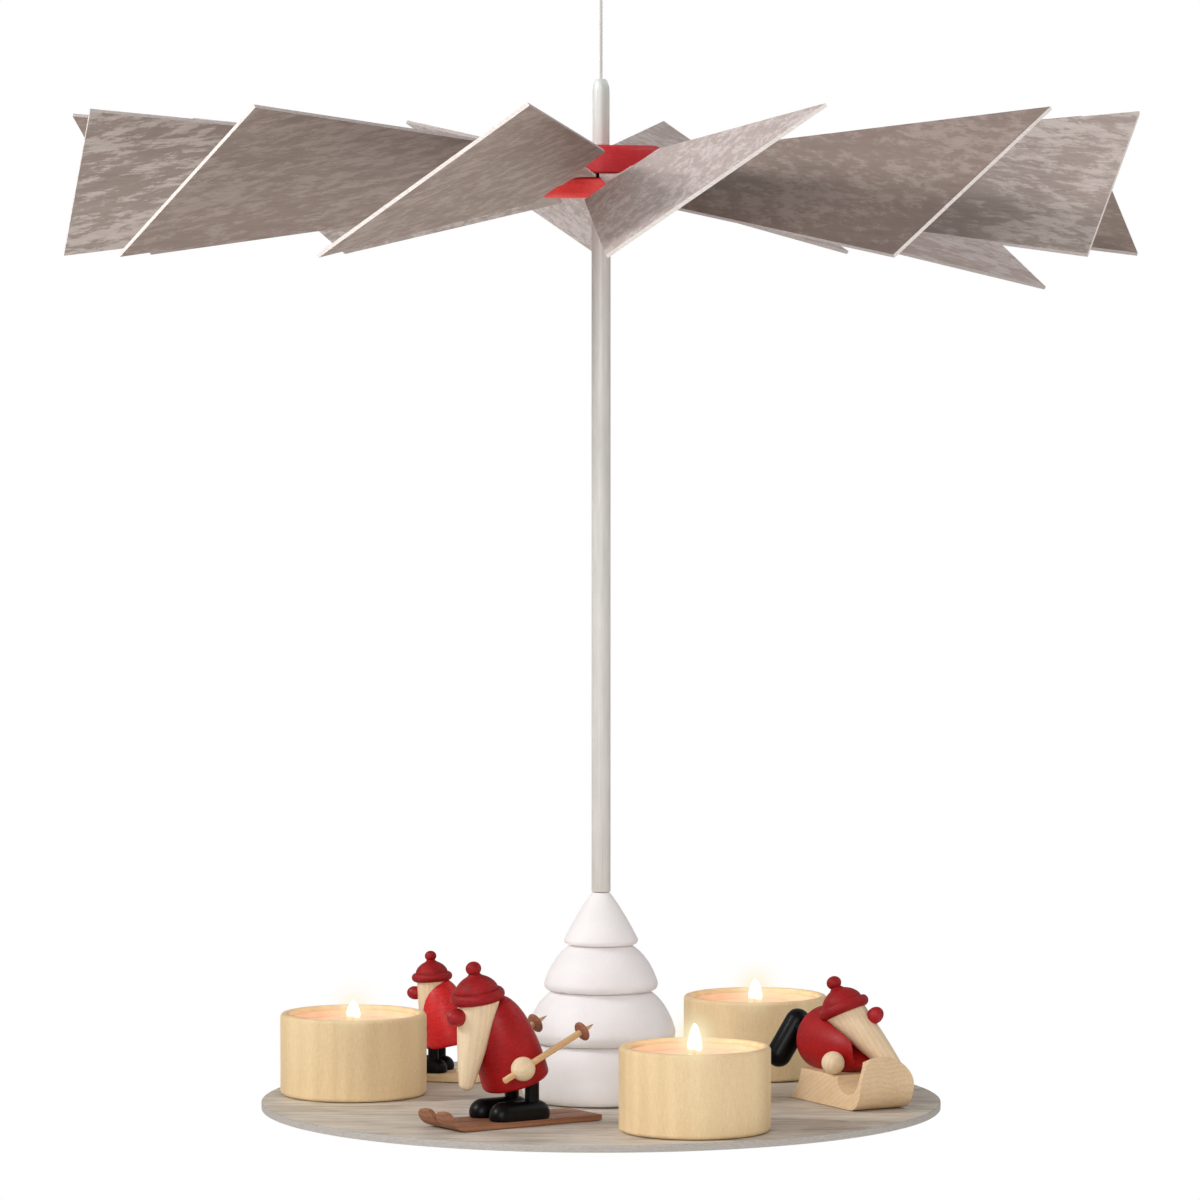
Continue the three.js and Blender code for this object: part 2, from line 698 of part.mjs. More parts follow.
function coatProfile(size) {
  const radius = COAT_RADIUS * size;
  const top = COAT_LENGTH * size;
  const round = COAT_HEM_ROUND * size;
  const steps = 6;
  const profile = [[0, 0], ...arc([radius - round, round], round, -90, 0, 2)];
  for (let i = 1; i < steps; i += 1) {
    const angle = QUARTER * i / steps;
    profile.push([radius * Math.cos(angle) ** COAT_FULLNESS, round + (top - round) * Math.sin(angle)]);
  }
  return [...profile, [0, top]];
}

function noseForm(size) {
  return welded(new THREE.SphereGeometry(NOSE_RADIUS * size, SIDES_SMALL, SIDES_CORD - 2));
}

// A boot with its flat sole at height 0 and the leg that rises from it
const bootHeight = (size) => BOOT_WIDTH / 2 * size * (1 + BOOT_CUT);

function bootForm(size, legTop) {
  const radius = BOOT_WIDTH / 2 * size;
  const barrel = (BOOT_LENGTH - BOOT_WIDTH) * size;
  const upper = welded(new THREE.CapsuleGeometry(radius, barrel, 3, SIDES_SMALL, 1).rotateZ(QUARTER));
  upper.translate(0, 0, BOOT_CUT * radius);
  const below = new THREE.BoxGeometry(4 * BOOT_LENGTH, 4 * BOOT_WIDTH, 4 * BOOT_WIDTH);
  const ground = welded(below).translate(0, 0, -2 * BOOT_WIDTH);
  const leg = LEG_DIAMETER / 2 * size;
  const legFoot = BOOT_CUT * radius;
  const shin = turned([[0, legFoot], [leg, legFoot], [leg, legTop], [0, legTop]], SIDES_SMALL);
  return joined(cut(upper, ground), shin.translate(-LEG_SET_BACK * size, 0, 0));
}

// Hat, beard, nose and coat of a figure, cut where one seats on another
function upperBody(size, pose) {
  const head = [pose.head[0], 0, pose.head[1]];
  const hem = [pose.hem[0], 0, pose.hem[1]];
  const facing = (geometry, turn) => geometry.rotateZ(rad(turn)).translate(...head);
  const headForm = (profile, lean, turn = pose.headTurn) =>
    facing(turned(profile, SIDES_FIGURE).rotateY(rad(lean)), turn);
  const coatForm = (profile) => posed(turned(profile, SIDES_FIGURE), pose.coatLean, hem);
  const [hat, beard, coat] = [hatProfile(size), beardProfile(size), coatProfile(size)];
  const hatRoom = headForm(widened(hat, SEAT), pose.hatLean);
  const beardRoom = headForm(widened(beard, SEAT), pose.beardLean);
  const swing = pose.headTurn === 0 ? [] : [0, pose.headTurn / 2];
  const swingRoom = swing.map((turn) => headForm(widened(beard, SEAT), pose.beardLean, turn));
  const brim = (HAT_RADIUS + HAT_BRIM_ROLL) * size;
  const overBrim = headForm([[0, -SEAT], [brim, -SEAT], [brim, brim], [0, brim]], pose.hatLean);
  const lean = rad(pose.beardLean);
  const drop = NOSE_DROP * size;
  const reach = (beardRadiusAt(NOSE_DROP / BEARD_LENGTH) + NOSE_RADIUS / 2) * size;
  const nose = facing(noseForm(size).translate(
    reach * Math.cos(lean) - drop * Math.sin(lean),
    0,
    -reach * Math.sin(lean) - drop * Math.cos(lean),
  ), pose.headTurn);
  return {
    hat: headForm(hat, pose.hatLean),
    beard: cut(headForm(beard, pose.beardLean), overBrim),
    nose: cut(nose, beardRoom, hatRoom),
    coat: cut(coatForm(coat), beardRoom, hatRoom, ...swingRoom),
    coatRoom: coatForm(widened(coat, SEAT)),
    beardRoom,
  };
}

function addUpperBody(group, name, body) {
  group.add(piece(`${name}_hat`, body.hat, HAT_RED));
  group.add(piece(`${name}_head_beard`, body.beard, PALE_WOOD));
  group.add(piece(`${name}_nose`, body.nose, HAT_RED));
  group.add(piece(`${name}_coat`, body.coat, COAT_RED));
}

// Both boots of a standing figure, with the legs cut off under the coat
function addStandingBoots(group, name, size, ground, body) {
  const legTop = bootHeight(size) + LEG_SHOW * size + COAT_RADIUS * size;
  for (const [side, sign] of [['left', 1], ['right', -1]]) {
    const boot = bootForm(size, legTop);
    boot.translate(LEG_SET_BACK * size, sign * LEG_SPREAD / 2 * size, ground);
    group.add(piece(`${name}_boot_${side}`, cut(boot, body.coatRoom), BOOT_BLACK));
  }
}

// Where a standing figure's hem and head come to, from what stands below them
function standingPose(size, ground, hemForward, headReach, headSink, coatLean) {
  const hem = [hemForward * size, ground + bootHeight(size) + LEG_SHOW * size];
  const rise = COAT_LENGTH * Math.cos(rad(coatLean)) - headSink;
  const head = [hem[0] + (COAT_RADIUS + headReach) * size, hem[1] + rise * size];
  return { hem, head, coatLean, headTurn: 0 };
}

function figureGroup(x, y, headingDeg) {
  const group = new THREE.Group();
  group.position.set(x, y, SEAT);
  group.rotation.z = rad(headingDeg);
  return group;
}

// The front view of a curled board, with round upper corners, drawn out along its length
function frontView(width, height, round, length) {
  const half = width / 2;
  const shape = new THREE.Shape();
  shape.moveTo(-half, -SEAT);
  shape.lineTo(half, -SEAT);
  shape.absarc(half - round, height + SEAT - round, round, 0, QUARTER, false);
  shape.absarc(round - half, height + SEAT - round, round, QUARTER, 2 * QUARTER, false);
  return drawnAcross(shape, 2 * length, 4).rotateZ(QUARTER);
}

// Skier: two curled skis and two poles that each pass through a hand
function skiForm() {
  const flatEnd = SKI_LENGTH - SKI_REAR - SKI_CURL_RADIUS * Math.sin(rad(SKI_CURL_DEG));
  const [from, to] = [-QUARTER, rad(SKI_CURL_DEG) - QUARTER];
  const shape = new THREE.Shape();
  shape.moveTo(-SKI_REAR, 0);
  shape.lineTo(flatEnd, 0);
  shape.absarc(flatEnd, SKI_CURL_RADIUS, SKI_CURL_RADIUS, from, to, false);
  shape.absarc(flatEnd, SKI_CURL_RADIUS, SKI_CURL_RADIUS - SKI_THICKNESS, to, from, true);
  shape.lineTo(-SKI_REAR, SKI_THICKNESS);
  const inner = SKI_CURL_RADIUS - SKI_THICKNESS;
  const tipHeight = SKI_CURL_RADIUS - inner * Math.cos(rad(SKI_CURL_DEG));
  const front = frontView(SKI_WIDTH, tipHeight, Math.min(SKI_TIP_ROUND, SKI_WIDTH / 2), SKI_LENGTH);
  return shared(drawnAcross(shape, SKI_WIDTH + 2 * SEAT, 4), front);
}

function poleForm(size) {
  const shaft = POLE_DIAMETER / 2;
  const hand = HAND_RADIUS * size;
  const grip = THREE.MathUtils.radToDeg(Math.acos(shaft / hand));
  const basket = POLE_BASKET_DIAMETER / 2;
  const half = POLE_BASKET_THICKNESS / 2;
  return turned([
    [0, -POLE_FRONT],
    [shaft, -POLE_FRONT],
    ...arc([0, 0], hand, -grip, grip, 6),
    [shaft, POLE_BASKET_AT - half],
    [basket - half / 2, POLE_BASKET_AT - half / 2],
    [basket, POLE_BASKET_AT],
    [basket - half / 2, POLE_BASKET_AT + half / 2],
    [shaft, POLE_BASKET_AT + half],
    [0, POLE_BASKET_AT + half + POLE_TIP_LENGTH],
  ], SIDES_SMALL);
}

function skier() {
  const size = SKIER_SIZE;
  const group = figureGroup(SKIER_X, SKIER_Y, SKIER_HEADING_DEG);
  const ground = SKI_THICKNESS + SEAT;
  const standing = standingPose(
    size, ground, SKIER_HEM_FORWARD, SKIER_HEAD_REACH, SKIER_HEAD_SINK, SKIER_COAT_LEAN_DEG,
  );
  const body = upperBody(size, {
    ...standing,
    beardLean: SKIER_BEARD_LEAN_DEG,
    hatLean: SKIER_HAT_LEAN_DEG,
  });
  addUpperBody(group, 'skier', body);
  addStandingBoots(group, 'skier', size, ground, body);
  const handUp = standing.hem[1] + SKIER_HAND_RISE * size;
  const handOut = (COAT_RADIUS + HAND_RADIUS - SKIER_HAND_BED) * size;
  for (const [side, sign] of [['left', 1], ['right', -1]]) {
    const hand = [SKIER_HAND_FORWARD * size, sign * handOut, handUp];
    const pole = posed(poleForm(size), POLE_RISE_DEG - 90, hand);
    group.add(piece(`skier_pole_${side}`, cut(pole, body.coatRoom), PALE_WOOD));
    const ski = skiForm().translate(0, sign * (SKI_WIDTH + SKI_GAP) / 2, 0);
    group.add(piece(`ski_${side}`, ski, SKI_BROWN));
  }
  return group;
}

// Sledder: lies on a sled whose front curls up, boots out behind
const SLED_REAR = -(SLED_FLAT_LENGTH + SLED_CURL_REACH) / 2;
const SLED_FLAT_END = SLED_REAR + SLED_FLAT_LENGTH;

function sledForm() {
  const lip = rad(SLED_CURL_DEG);
  const lipHeight = SLED_CURL_RISE * (1 + Math.sin(lip));
  const notchX = SLED_FLAT_END + SLED_CURL_REACH - SLED_CURL_FRONT_THICKNESS - SLED_NOTCH_REACH;
  const notchTop = lipHeight - SLED_CURL_LIP_THICKNESS * Math.sin(lip);
  const notchRise = (notchTop - SLED_CURL_FOOT_THICKNESS) / (1 + Math.sin(lip));
  const notchZ = SLED_CURL_FOOT_THICKNESS + notchRise;
  const seatShare = THREE.MathUtils.clamp((SLED_SEAT_HEIGHT - notchZ) / notchRise, -1, 1);
  const seatEnd = Math.PI - Math.asin(seatShare);
  const seatRear = SLED_REAR + SLED_REAR_RAKE;
  const side = new THREE.Shape();
  side.moveTo(SLED_REAR, 0);
  side.lineTo(SLED_FLAT_END, 0);
  side.absellipse(SLED_FLAT_END, SLED_CURL_RISE, SLED_CURL_REACH, SLED_CURL_RISE, -QUARTER, lip, false);
  side.absellipse(notchX, notchZ, SLED_NOTCH_REACH, notchRise, lip, seatEnd, true);
  side.lineTo(seatRear, SLED_SEAT_HEIGHT);
  side.quadraticCurveTo(seatRear, SLED_SEAT_HEIGHT / 3, SLED_REAR, 0);
  const round = Math.min(SLED_LIP_ROUND, SLED_WIDTH / 2, lipHeight - SLED_SEAT_HEIGHT);
  const across = drawnAcross(side, SLED_WIDTH + 2 * SEAT, 6);
  return shared(across, frontView(SLED_WIDTH, lipHeight, round, SLED_FLAT_LENGTH + SLED_CURL_REACH));
}

function sledder() {
  const size = SLEDDER_SIZE;
  const group = figureGroup(SLED_X, SLED_Y, SLED_HEADING_DEG);
  const hem = [-SLEDDER_HEM_BACK, SLED_SEAT_HEIGHT + COAT_RADIUS * size - SLEDDER_BED];
  const body = upperBody(size, {
    hem,
    head: [hem[0] + SLEDDER_HEAD_AHEAD * size, hem[1] + SLEDDER_HEAD_RISE * size],
    coatLean: SLEDDER_COAT_LEAN_DEG,
    headTurn: SLEDDER_HEAD_TURN_DEG,
    beardLean: SLEDDER_BEARD_LEAN_DEG,
    hatLean: SLEDDER_HAT_LEAN_DEG,
  });
  addUpperBody(group, 'sledder', body);
  const legTop = bootHeight(size) + (SLEDDER_LEG_SHOW + COAT_RADIUS) * size;
  const soleBack = hem[0] - bootHeight(size) - SLEDDER_LEG_SHOW * size;
  const sled = cut(sledForm(), body.coatRoom, body.beardRoom);
  const handHeight = SLED_SEAT_HEIGHT + HAND_RADIUS * size + SEAT;
  const sides = [['left', 1, SLEDDER_LEFT_HAND_FORWARD], ['right', -1, SLEDDER_RIGHT_HAND_FORWARD]];
  for (const [side, sign, handForward] of sides) {
    const across = sign * SLEDDER_LEG_SPREAD / 2 * size;
    const boot = bootForm(size, legTop).rotateY(rad(SLEDDER_BOOT_LEAN_DEG));
    boot.rotateX(rad(-SLEDDER_BOOT_SWING_DEG)).translate(soleBack, across, hem[1]);
    group.add(piece(`sledder_boot_${side}`, cut(boot, body.coatRoom), BOOT_BLACK));
    const hand = welded(new THREE.SphereGeometry(HAND_RADIUS * size, SIDES_SMALL, SIDES_CORD));
    hand.translate(handForward, sign * SLED_WIDTH / 2, handHeight);
    group.add(piece(`sledder_hand_${side}`, cut(hand, body.coatRoom), PALE_WOOD));
  }
  group.add(piece('sled', sled, SLED_BEECH));
  return group;
}

// Figure standing on a board with round ends
function boardForm() {
  const straight = (BOARD_LENGTH - BOARD_WIDTH) / 2;
  const radius = BOARD_WIDTH / 2;
  const shape = new THREE.Shape();
  shape.absarc(straight, 0, radius, -QUARTER, QUARTER, false);
  shape.absarc(-straight, 0, radius, QUARTER, 3 * QUARTER, false);
  const options = { depth: BOARD_THICKNESS, bevelEnabled: false, curveSegments: 6 };
  return welded(new THREE.ExtrudeGeometry(shape, options));
}

function boardRider() {
  const size = RIDER_SIZE;
  const group = figureGroup(RIDER_X, RIDER_Y, RIDER_HEADING_DEG);
  const ground = BOARD_THICKNESS + SEAT;
  const standing = standingPose(
    size, ground, RIDER_HEM_FORWARD, RIDER_HEAD_REACH, RIDER_HEAD_SINK, RIDER_COAT_LEAN_DEG,
  );
  const body = upperBody(size, {
    ...standing,
    beardLean: RIDER_BEARD_LEAN_DEG,
    hatLean: RIDER_HAT_LEAN_DEG,
  });
  addUpperBody(group, 'rider', body);
  addStandingBoots(group, 'rider', size, ground, body);
  group.add(piece('rider_board', boardForm(), PALE_WOOD));
  return group;
}

// Everything that turns below the cord
function pyramid() {
  const group = new THREE.Group();
  group.position.z = PLATE_TOP;
  group.add(piece('upper_rod', upperRod(), ROD_METAL));
  group.add(piece('lower_rod', lowerRod(), ROD_METAL));
  group.add(piece('plate', plate(), PLATE_GREY));
  group.add(piece('plate_screw', plateScrew(), STEEL));
  group.add(fanWheel(), tree(), candleHolders(), skier(), sledder(), boardRider());
  return group;
}

const hangingPyramid = new THREE.Group();
hangingPyramid.add(suspension(), pyramid());

export default hangingPyramid;
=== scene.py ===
"""Dressed scene of the hanging candle pyramid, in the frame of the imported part.

Sizes and places are in millimetres and degrees; meshes are scaled to metres as they are made.
The origin is the point where a hook bears in the hanging eye, and +Z is up.
"""

import math

import bmesh
import bpy
from mathutils import Matrix, Vector


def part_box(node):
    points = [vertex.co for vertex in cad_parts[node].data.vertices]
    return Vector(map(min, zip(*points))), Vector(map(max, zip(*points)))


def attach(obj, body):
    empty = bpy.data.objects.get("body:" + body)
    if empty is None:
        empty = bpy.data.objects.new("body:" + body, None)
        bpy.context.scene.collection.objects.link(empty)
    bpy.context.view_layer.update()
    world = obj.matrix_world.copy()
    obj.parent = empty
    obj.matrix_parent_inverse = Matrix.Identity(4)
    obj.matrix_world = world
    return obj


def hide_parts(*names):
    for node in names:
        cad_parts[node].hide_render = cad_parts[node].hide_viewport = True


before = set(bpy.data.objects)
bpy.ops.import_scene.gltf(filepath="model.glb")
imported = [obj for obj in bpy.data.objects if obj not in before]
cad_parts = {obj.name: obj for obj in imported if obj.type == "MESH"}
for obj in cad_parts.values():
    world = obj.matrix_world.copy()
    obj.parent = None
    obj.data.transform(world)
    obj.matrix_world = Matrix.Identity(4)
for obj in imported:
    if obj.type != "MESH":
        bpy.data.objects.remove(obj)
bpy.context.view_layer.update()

MM = 0.001
TINY = 1e-6
QUARTER = 90

# Gap between pieces that touch
SEAT = 0.3

# Camera
CAMERA_LENS = 201
CAMERA_SENSOR = 36
CAMERA_X = -0.5
CAMERA_DISTANCE = 3172
CAMERA_OVER_PLATE = 413.7
CAMERA_TILT = 3.17
CAMERA_CLIP_METRES = 100

# Floor of the studio, far under the hanging part
FLOOR_DROP = 2900
FLOOR_RADIUS = 6000
FLOOR_THICKNESS = 2
FLOOR_FADE = (2500, 5500)
FLOOR_GLOW = (0.45, 0.64)

# Room, and its soft lights: place, size, power, height on the axis that they aim at, spread in degrees
ROOM_TONES = ((0.38, 0.37, 0.36, 1), (0.42, 0.42, 0.42, 1))
SOFT_BOXES = {
    "key": ((-500, -2500, 250), 900, 22, -300, 180),
    "fill": ((1700, -1500, -900), 1200, 7, -300, 180),
    "side": ((-1900, -500, 900), 450, 18, -300, 180),
    "wheel_left": ((-1900, -500, 900), 1100, 1.6, 150, 50),
    "wheel_right": ((1500, 300, 1000), 1100, 0.9, 150, 50),
}

# Suspension
EYE_OPENING = 12
EYE_WIRE = 2
FERRULE_DIAMETER = 3.6
FERRULE_LENGTH = 9
FERRULE_EDGE = 0.4
CRIMP_COUNT = 3
CRIMP_SPACING = 1.8
CRIMP_WIDTH = 1
CRIMP_DEPTH = 0.35
CORD_DIAMETER = 1.5
CORD_STRANDS = 3
CORD_LAY_LENGTH = 5.7

# Rods
UPPER_ROD_DIAMETER = 8
NOSE_LENGTH = 6.5
NOSE_TIP_DIAMETER = 4.4
CORD_HOLE_DIAMETER = 2.2
LOWER_ROD_DIAMETER = 9
TENON_DIAMETER = 5.2
ROD_EDGE = 0.35

# Fan wheel
HUB_DIAMETER = 57
HUB_EDGE_RADIUS = 3
HUB_INNER_EDGE_RADIUS = 1
BLADE_COUNT = 12
BLADE_START_DEG = -18.3
BLADE_PITCH_DEG = 34
BLADE_THICKNESS = 1.7
BLADE_TIP_RADIUS = 249
BLADE_TIP_WIDTH = 118.5
BLADE_TIP_DROOP = 3.9
LOW_BLADE = 6
LOW_BLADE_TIP_DROOP = 21
BLADE_ROOT_RADIUS = 48
BLADE_ROOT_WIDTH = 42
BLADE_NECK_WIDTH = 13.5
BLADE_NECK_FILLET = 4.3
BLADE_TONGUE_INNER_RADIUS = 12
BLADE_TONGUE_INNER_WIDTH = 5
BLADE_COLUMNS = 8
BLADE_MAP_SHIFT = Vector((0.37, 0.53))
# Veneer grade of each blade from the first; the grades' tints paint light and shade onto whole blades
BLADE_GRADES_WITH_PAINTED_LIGHT = [
    "mild", "silver", "plain", "pale", "mild", "silver",
    "silver", "silver", "pale", "mild", "flaky", "plain",
]

# Tree tiers, from the top tier down
TIER_HEIGHTS = [24.7, 21.5, 24.2, 27.4]
TIER_RADII = [17.6, 27.1, 35.5, 38]
TIER_FOOT_INSETS = [2.4, 3.3, 4, 5]
TIER_BELLY_HEIGHTS = [2.2, 3.4, 5, 9]
TIER_BULGES = [0.08, 0.34, 0.36, 0.62]
TIER_GROOVE = 0.6

# Plate and screw
PLATE_DIAMETER = 323
PLATE_THICKNESS = 3.4
PLATE_EDGE = 0.5
SCREW_DIAMETER = 3
SCREW_HEAD_DIAMETER = 8
SCREW_EDGE = 0.2
SCREW_SLOT = 1.2
SCREW_SLOT_REACH = 2.4
SCREW_SLOT_DEPTH = 1.4

# Candle holders and tea lights
HOLDER_COUNT = 3
HOLDER_DIAMETER = 70
HOLDER_HEIGHT = 39
HOLDER_RIM_WALL = 4.2
HOLDER_RIM_RADIUS = 1.8
HOLDER_FOOT_CHAMFER = 1.2
HOLDER_FOOT_ROUND = 1.5
HOLDER_GRAIN_TURN_DEG = 137
HOLDER_LIP = 2.4
CUP_HEIGHT = 24
CUP_WALL = 0.6
CUP_EDGE = 0.5
CUP_PLAY = 0.6
WAX_DEPTH = 20.4
WAX_DISH = 0.8
WAX_EDGE = 0.3
WAX_RISE = 1.6
WAX_COLLAR = 0.7
WICK_DIAMETER = 1.6
WICK_LENGTH = 7
WICK_ROUNDS = 12
WICK_SIDES = 16
WICK_WAIST = 0.86
FLAME_WIDTH = 6.8
FLAME_FOOT = 0.6
FLAME_ARCH = (2.6, 0.75)
FLAME_HEIGHTS = [10.4, 14.8, 12.2]
FLAME_STRENGTH = 10.0
FLAME_LIGHT = 0.01
FLAME_LIGHT_COLOUR = (1.0, 0.68, 0.54)

# Halo that a lens sees round a flame; its reach is a share of the picture's width
GLOW_THRESHOLD = 6.0
GLOW_REACH = 0.028
GLOW_STRENGTH = 4.5
GLOW_COLOUR = (1.0, 0.87, 0.56, 1)

# Figures at size 1; a stance is hem forward, head reach and head sink
HAT_RADIUS = 12
HAT_BRIM_ROLL = 2.65
HAT_DOME_RADIUS = 9.5
HAT_DOME_HEIGHT = 12.4
HAT_DOME_SEAT = 1.8
HAT_DOME_END_DEG = 66
HAT_DOME_TAPER = 1.35
HAT_BRIM_END_DEG = 62
BOBBLE_RADIUS = 3.45
BOBBLE_SQUASH = 0.9
BOBBLE_LIFT = 0.72
BOBBLE_START_DEG = -46
BEARD_RADIUS = 9
BEARD_LENGTH = 39
BEARD_TAPER = 0.4
BEARD_CURVE = 0.3
BEARD_TIP_FULLNESS = 0.85
NOSE_RADIUS = 3.9
NOSE_DROP = 8
NOSE_SLIMNESS = 1.02
NOSE_STRETCH = 1.2
COAT_RADIUS = 15
COAT_LENGTH = 40
COAT_HEM_ROUND = 1.8
COAT_FULLNESS = 0.8
BOOT_LENGTH = 29.5
BOOT_WIDTH = 12
BOOT_CUT = 0.32
LEG_DIAMETER = 6.3
LEG_SET_BACK = 6.5
LEG_SHOW = 7.4
LEG_SPREAD = 16
HAND_RADIUS = 5.3

# Skier
SKIER_SIZE = 1.06
SKIER_PLACE = (-36.7, -84, 214)
SKIER_LEANS = {"coat": 18, "beard": -10, "hat": 10}
SKIER_STANCE = (3, 4.6, 1.8)
SKI_LENGTH = 84
SKI_REAR = 35
SKI_WIDTH = 14
SKI_GAP = 1
SKI_THICKNESS = 2.6
SKI_CURL_RADIUS = 10
SKI_CURL_DEG = 82
SKI_TIP_ROUND = 6.5
POLE_DIAMETER = 3
POLE_EDGE = 0.4
POLE_FIT = 0.9
POLE_FRONT = 11.5
POLE_BASKET_AT = 36
POLE_BASKET_DIAMETER = 9.4
POLE_BASKET_THICKNESS = 2.8
POLE_BASKET_ROLL = 0.8
POLE_BASKET_ROLL_DEG = 80
POLE_TIP_LENGTH = 6
POLE_RISE_DEG = 25
SKIER_HAND_FORWARD = 11.5
SKIER_HAND_RISE = 8
SKIER_HAND_BED = 1.8

# Sledder
SLEDDER_SIZE = 1.03
SLED_PLACE = (118.2, -15.2, -62)
SLEDDER_LEANS = {"coat": 95, "beard": -45, "hat": -24}
SLEDDER_HEAD_TURN_DEG = 38
SLEDDER_NOSE_DROP = 10.5
SLEDDER_NOSE_SLIMNESS = 0.94
SWING_STEPS = 6
SLED_FLAT_LENGTH = 58.6
SLED_WIDTH = 29
SLED_SEAT_HEIGHT = 15
SLED_CURL_REACH = 10.5
SLED_CURL_RISE = 13
SLED_CURL_DEG = 65
SLED_CURL_FOOT_THICKNESS = 7
SLED_CURL_FRONT_THICKNESS = 2.8
SLED_CURL_LIP_THICKNESS = 2.5
SLED_NOTCH_REACH = 9.8
SLED_LIP_ROUND = 14
SLED_REAR_RAKE = 12
SLEDDER_HEM_BACK = 26
SLEDDER_BED = 1.5
SLEDDER_HEAD_AHEAD = 21
SLEDDER_HEAD_RISE = 13
SLEDDER_LEG_SHOW = 9
SLEDDER_LEG_SPREAD = 20
SLEDDER_BOOT_LEAN_DEG = 97
SLEDDER_BOOT_SWING_DEG = 30
SLEDDER_BOOT_DROP = 1.6
SLEDDER_HANDS_FORWARD = {"left": -9, "right": 8.5}

# Figure standing on a board
RIDER_SIZE = 0.825
RIDER_PLACE = (-80, 78, 166)
RIDER_LEANS = {"coat": 12, "beard": -4, "hat": 4}
RIDER_STANCE = (-9, -3.2, 1.5)
BOARD_LENGTH = 66
BOARD_WIDTH = 30
BOARD_THICKNESS = 3.4

# Sides of a figure, seen along its own heading
SIDES = {"left": 1, "right": -1}

# Edges: how far sawn ones are eased, the share of a line that easing may take, and what looks sharp
SAWN_EDGE = 0.45
SAWN_EDGE_STEPS = 3
SAWN_EDGE_MIN_DEG = 40
EASE_SHARE = 0.45
SHARP_DEG = 32
HAT_SHARP_DEG = 40
CORD_SHARP_DEG = 60
FLAME_SHARP_DEG = 80

# Corners of a cut mesh nearer than this are joined
WELD = 0.005

# Scale at which the wave texture has one band for each step of its coordinates
BAND_SCALE = math.pi / 10

# Facets round a full turn
FINE = 96
MEDIUM = 64
COARSE = 32


def low(node):
    """Lowest corner of a CAD node, in millimetres."""
    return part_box(node)[0] / MM


def high(node):
    """Highest corner of a CAD node, in millimetres."""
    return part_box(node)[1] / MM


def middle(node):
    """Middle of a CAD node's box, in millimetres."""
    return (low(node) + high(node)) / 2


PLATE_TOP = high("plate").z


# Places
def at(x, y, z):
    return Matrix.Translation(Vector((x, y, z)) * MM)


def turn(degrees, axis):
    return Matrix.Rotation(math.radians(degrees), 4, axis)


# Outlines as lists of (radius, height) or (forward, up)
def arc(centre, radius, start, end, steps, squash=1):
    points = []
    for i in range(steps + 1):
        angle = math.radians(start + (end - start) * i / steps)
        x = centre[0] + radius * math.cos(angle)
        points.append((x, centre[1] + squash * radius * math.sin(angle)))
    return points


def bow(start, control, end, steps):
    """A curve that leaves its start and meets its end in line with a control point."""
    points = []
    for i in range(steps + 1):
        t = i / steps
        parts = ((start, (1 - t) ** 2), (control, 2 * t * (1 - t)), (end, t * t))
        points.append(tuple(sum(weight * point[k] for point, weight in parts) for k in (0, 1)))
    return points


def ball_profile(radius, stretch=1):
    """Half the outline of a ball, or of an egg stretched along its axis."""
    points = arc((0, 0), radius, -90, 90, 24, stretch)
    points[0], points[-1] = (0, -radius * stretch), (0, radius * stretch)
    return points


def eased(outline, radius, steps=4):
    """The outline with each inner corner rounded, less where its neighbours are close."""
    points = [outline[0]]
    for before, corner, after in zip(outline, outline[1:], outline[2:]):
        here = Vector(corner)
        back, ahead = Vector(before) - here, Vector(after) - here
        reach = min(radius, back.length * EASE_SHARE, ahead.length * EASE_SHARE)
        start, end = here + back.normalized() * reach, here + ahead.normalized() * reach
        points += bow(tuple(start), corner, tuple(end), steps)
    return points + [outline[-1]]


# Meshes
def bridge(mesh, rows, count):
    """Joins each row of corners to the next by a count of faces; a row may be a single point."""
    for lower, upper in zip(rows, rows[1:]):
        for i in range(count):
            path = ((lower, i), (lower, i + 1), (upper, i + 1), (upper, i))
            corners = list(dict.fromkeys(row[k % len(row)] for row, k in path))
            if len(corners) > 2:
                mesh.faces.new(corners)


def spin(mesh, profile, sides, place=Matrix(), ring=False):
    """Adds a profile turned round +Z to a mesh; a ring's profile closes on itself."""
    rows = []
    for radius, height in profile:
        count = 1 if radius < TINY else sides
        row = []
        for i in range(count):
            angle = 2 * math.pi * i / count
            point = Vector((radius * math.cos(angle), radius * math.sin(angle), height)) * MM
            row.append(mesh.verts.new(place @ point))
        rows.append(row)
    bridge(mesh, rows + rows[:1] if ring else rows, sides)


def placed(name, data, place):
    """A new object in the scene."""
    obj = bpy.data.objects.new(name, data)
    bpy.context.scene.collection.objects.link(obj)
    obj.matrix_world = place
    return obj


def made(name, mesh, place=Matrix(), sharp=SHARP_DEG):
    """An object from a finished mesh, smooth except along edges sharper than an angle."""
    bmesh.ops.recalc_face_normals(mesh, faces=mesh.faces)
    data = bpy.data.meshes.new(name)
    mesh.to_mesh(data)
    mesh.free()
    smoothed(data, sharp)
    return placed(name, data, place)


def smoothed(data, sharp=SHARP_DEG):
    data.polygons.foreach_set("use_smooth", [True] * len(data.polygons))
    data.set_sharp_from_angle(angle=math.radians(sharp))


def turned(name, profile, sides=MEDIUM, place=Matrix(), ring=False, sharp=SHARP_DEG):
    mesh = bmesh.new()
    spin(mesh, profile, sides, ring=ring)
    return made(name, mesh, place, sharp)


def drawn(name, outline, width, place=Matrix()):
    """An outline in forward and up, drawn out across to a width."""
    mesh = bmesh.new()
    sides = []
    for across in (-width / 2, width / 2):
        sides.append([mesh.verts.new(Vector((x, across, z)) * MM) for x, z in outline])
        mesh.faces.new(sides[-1])
    bridge(mesh, sides, len(outline))
    return made(name, mesh, place)


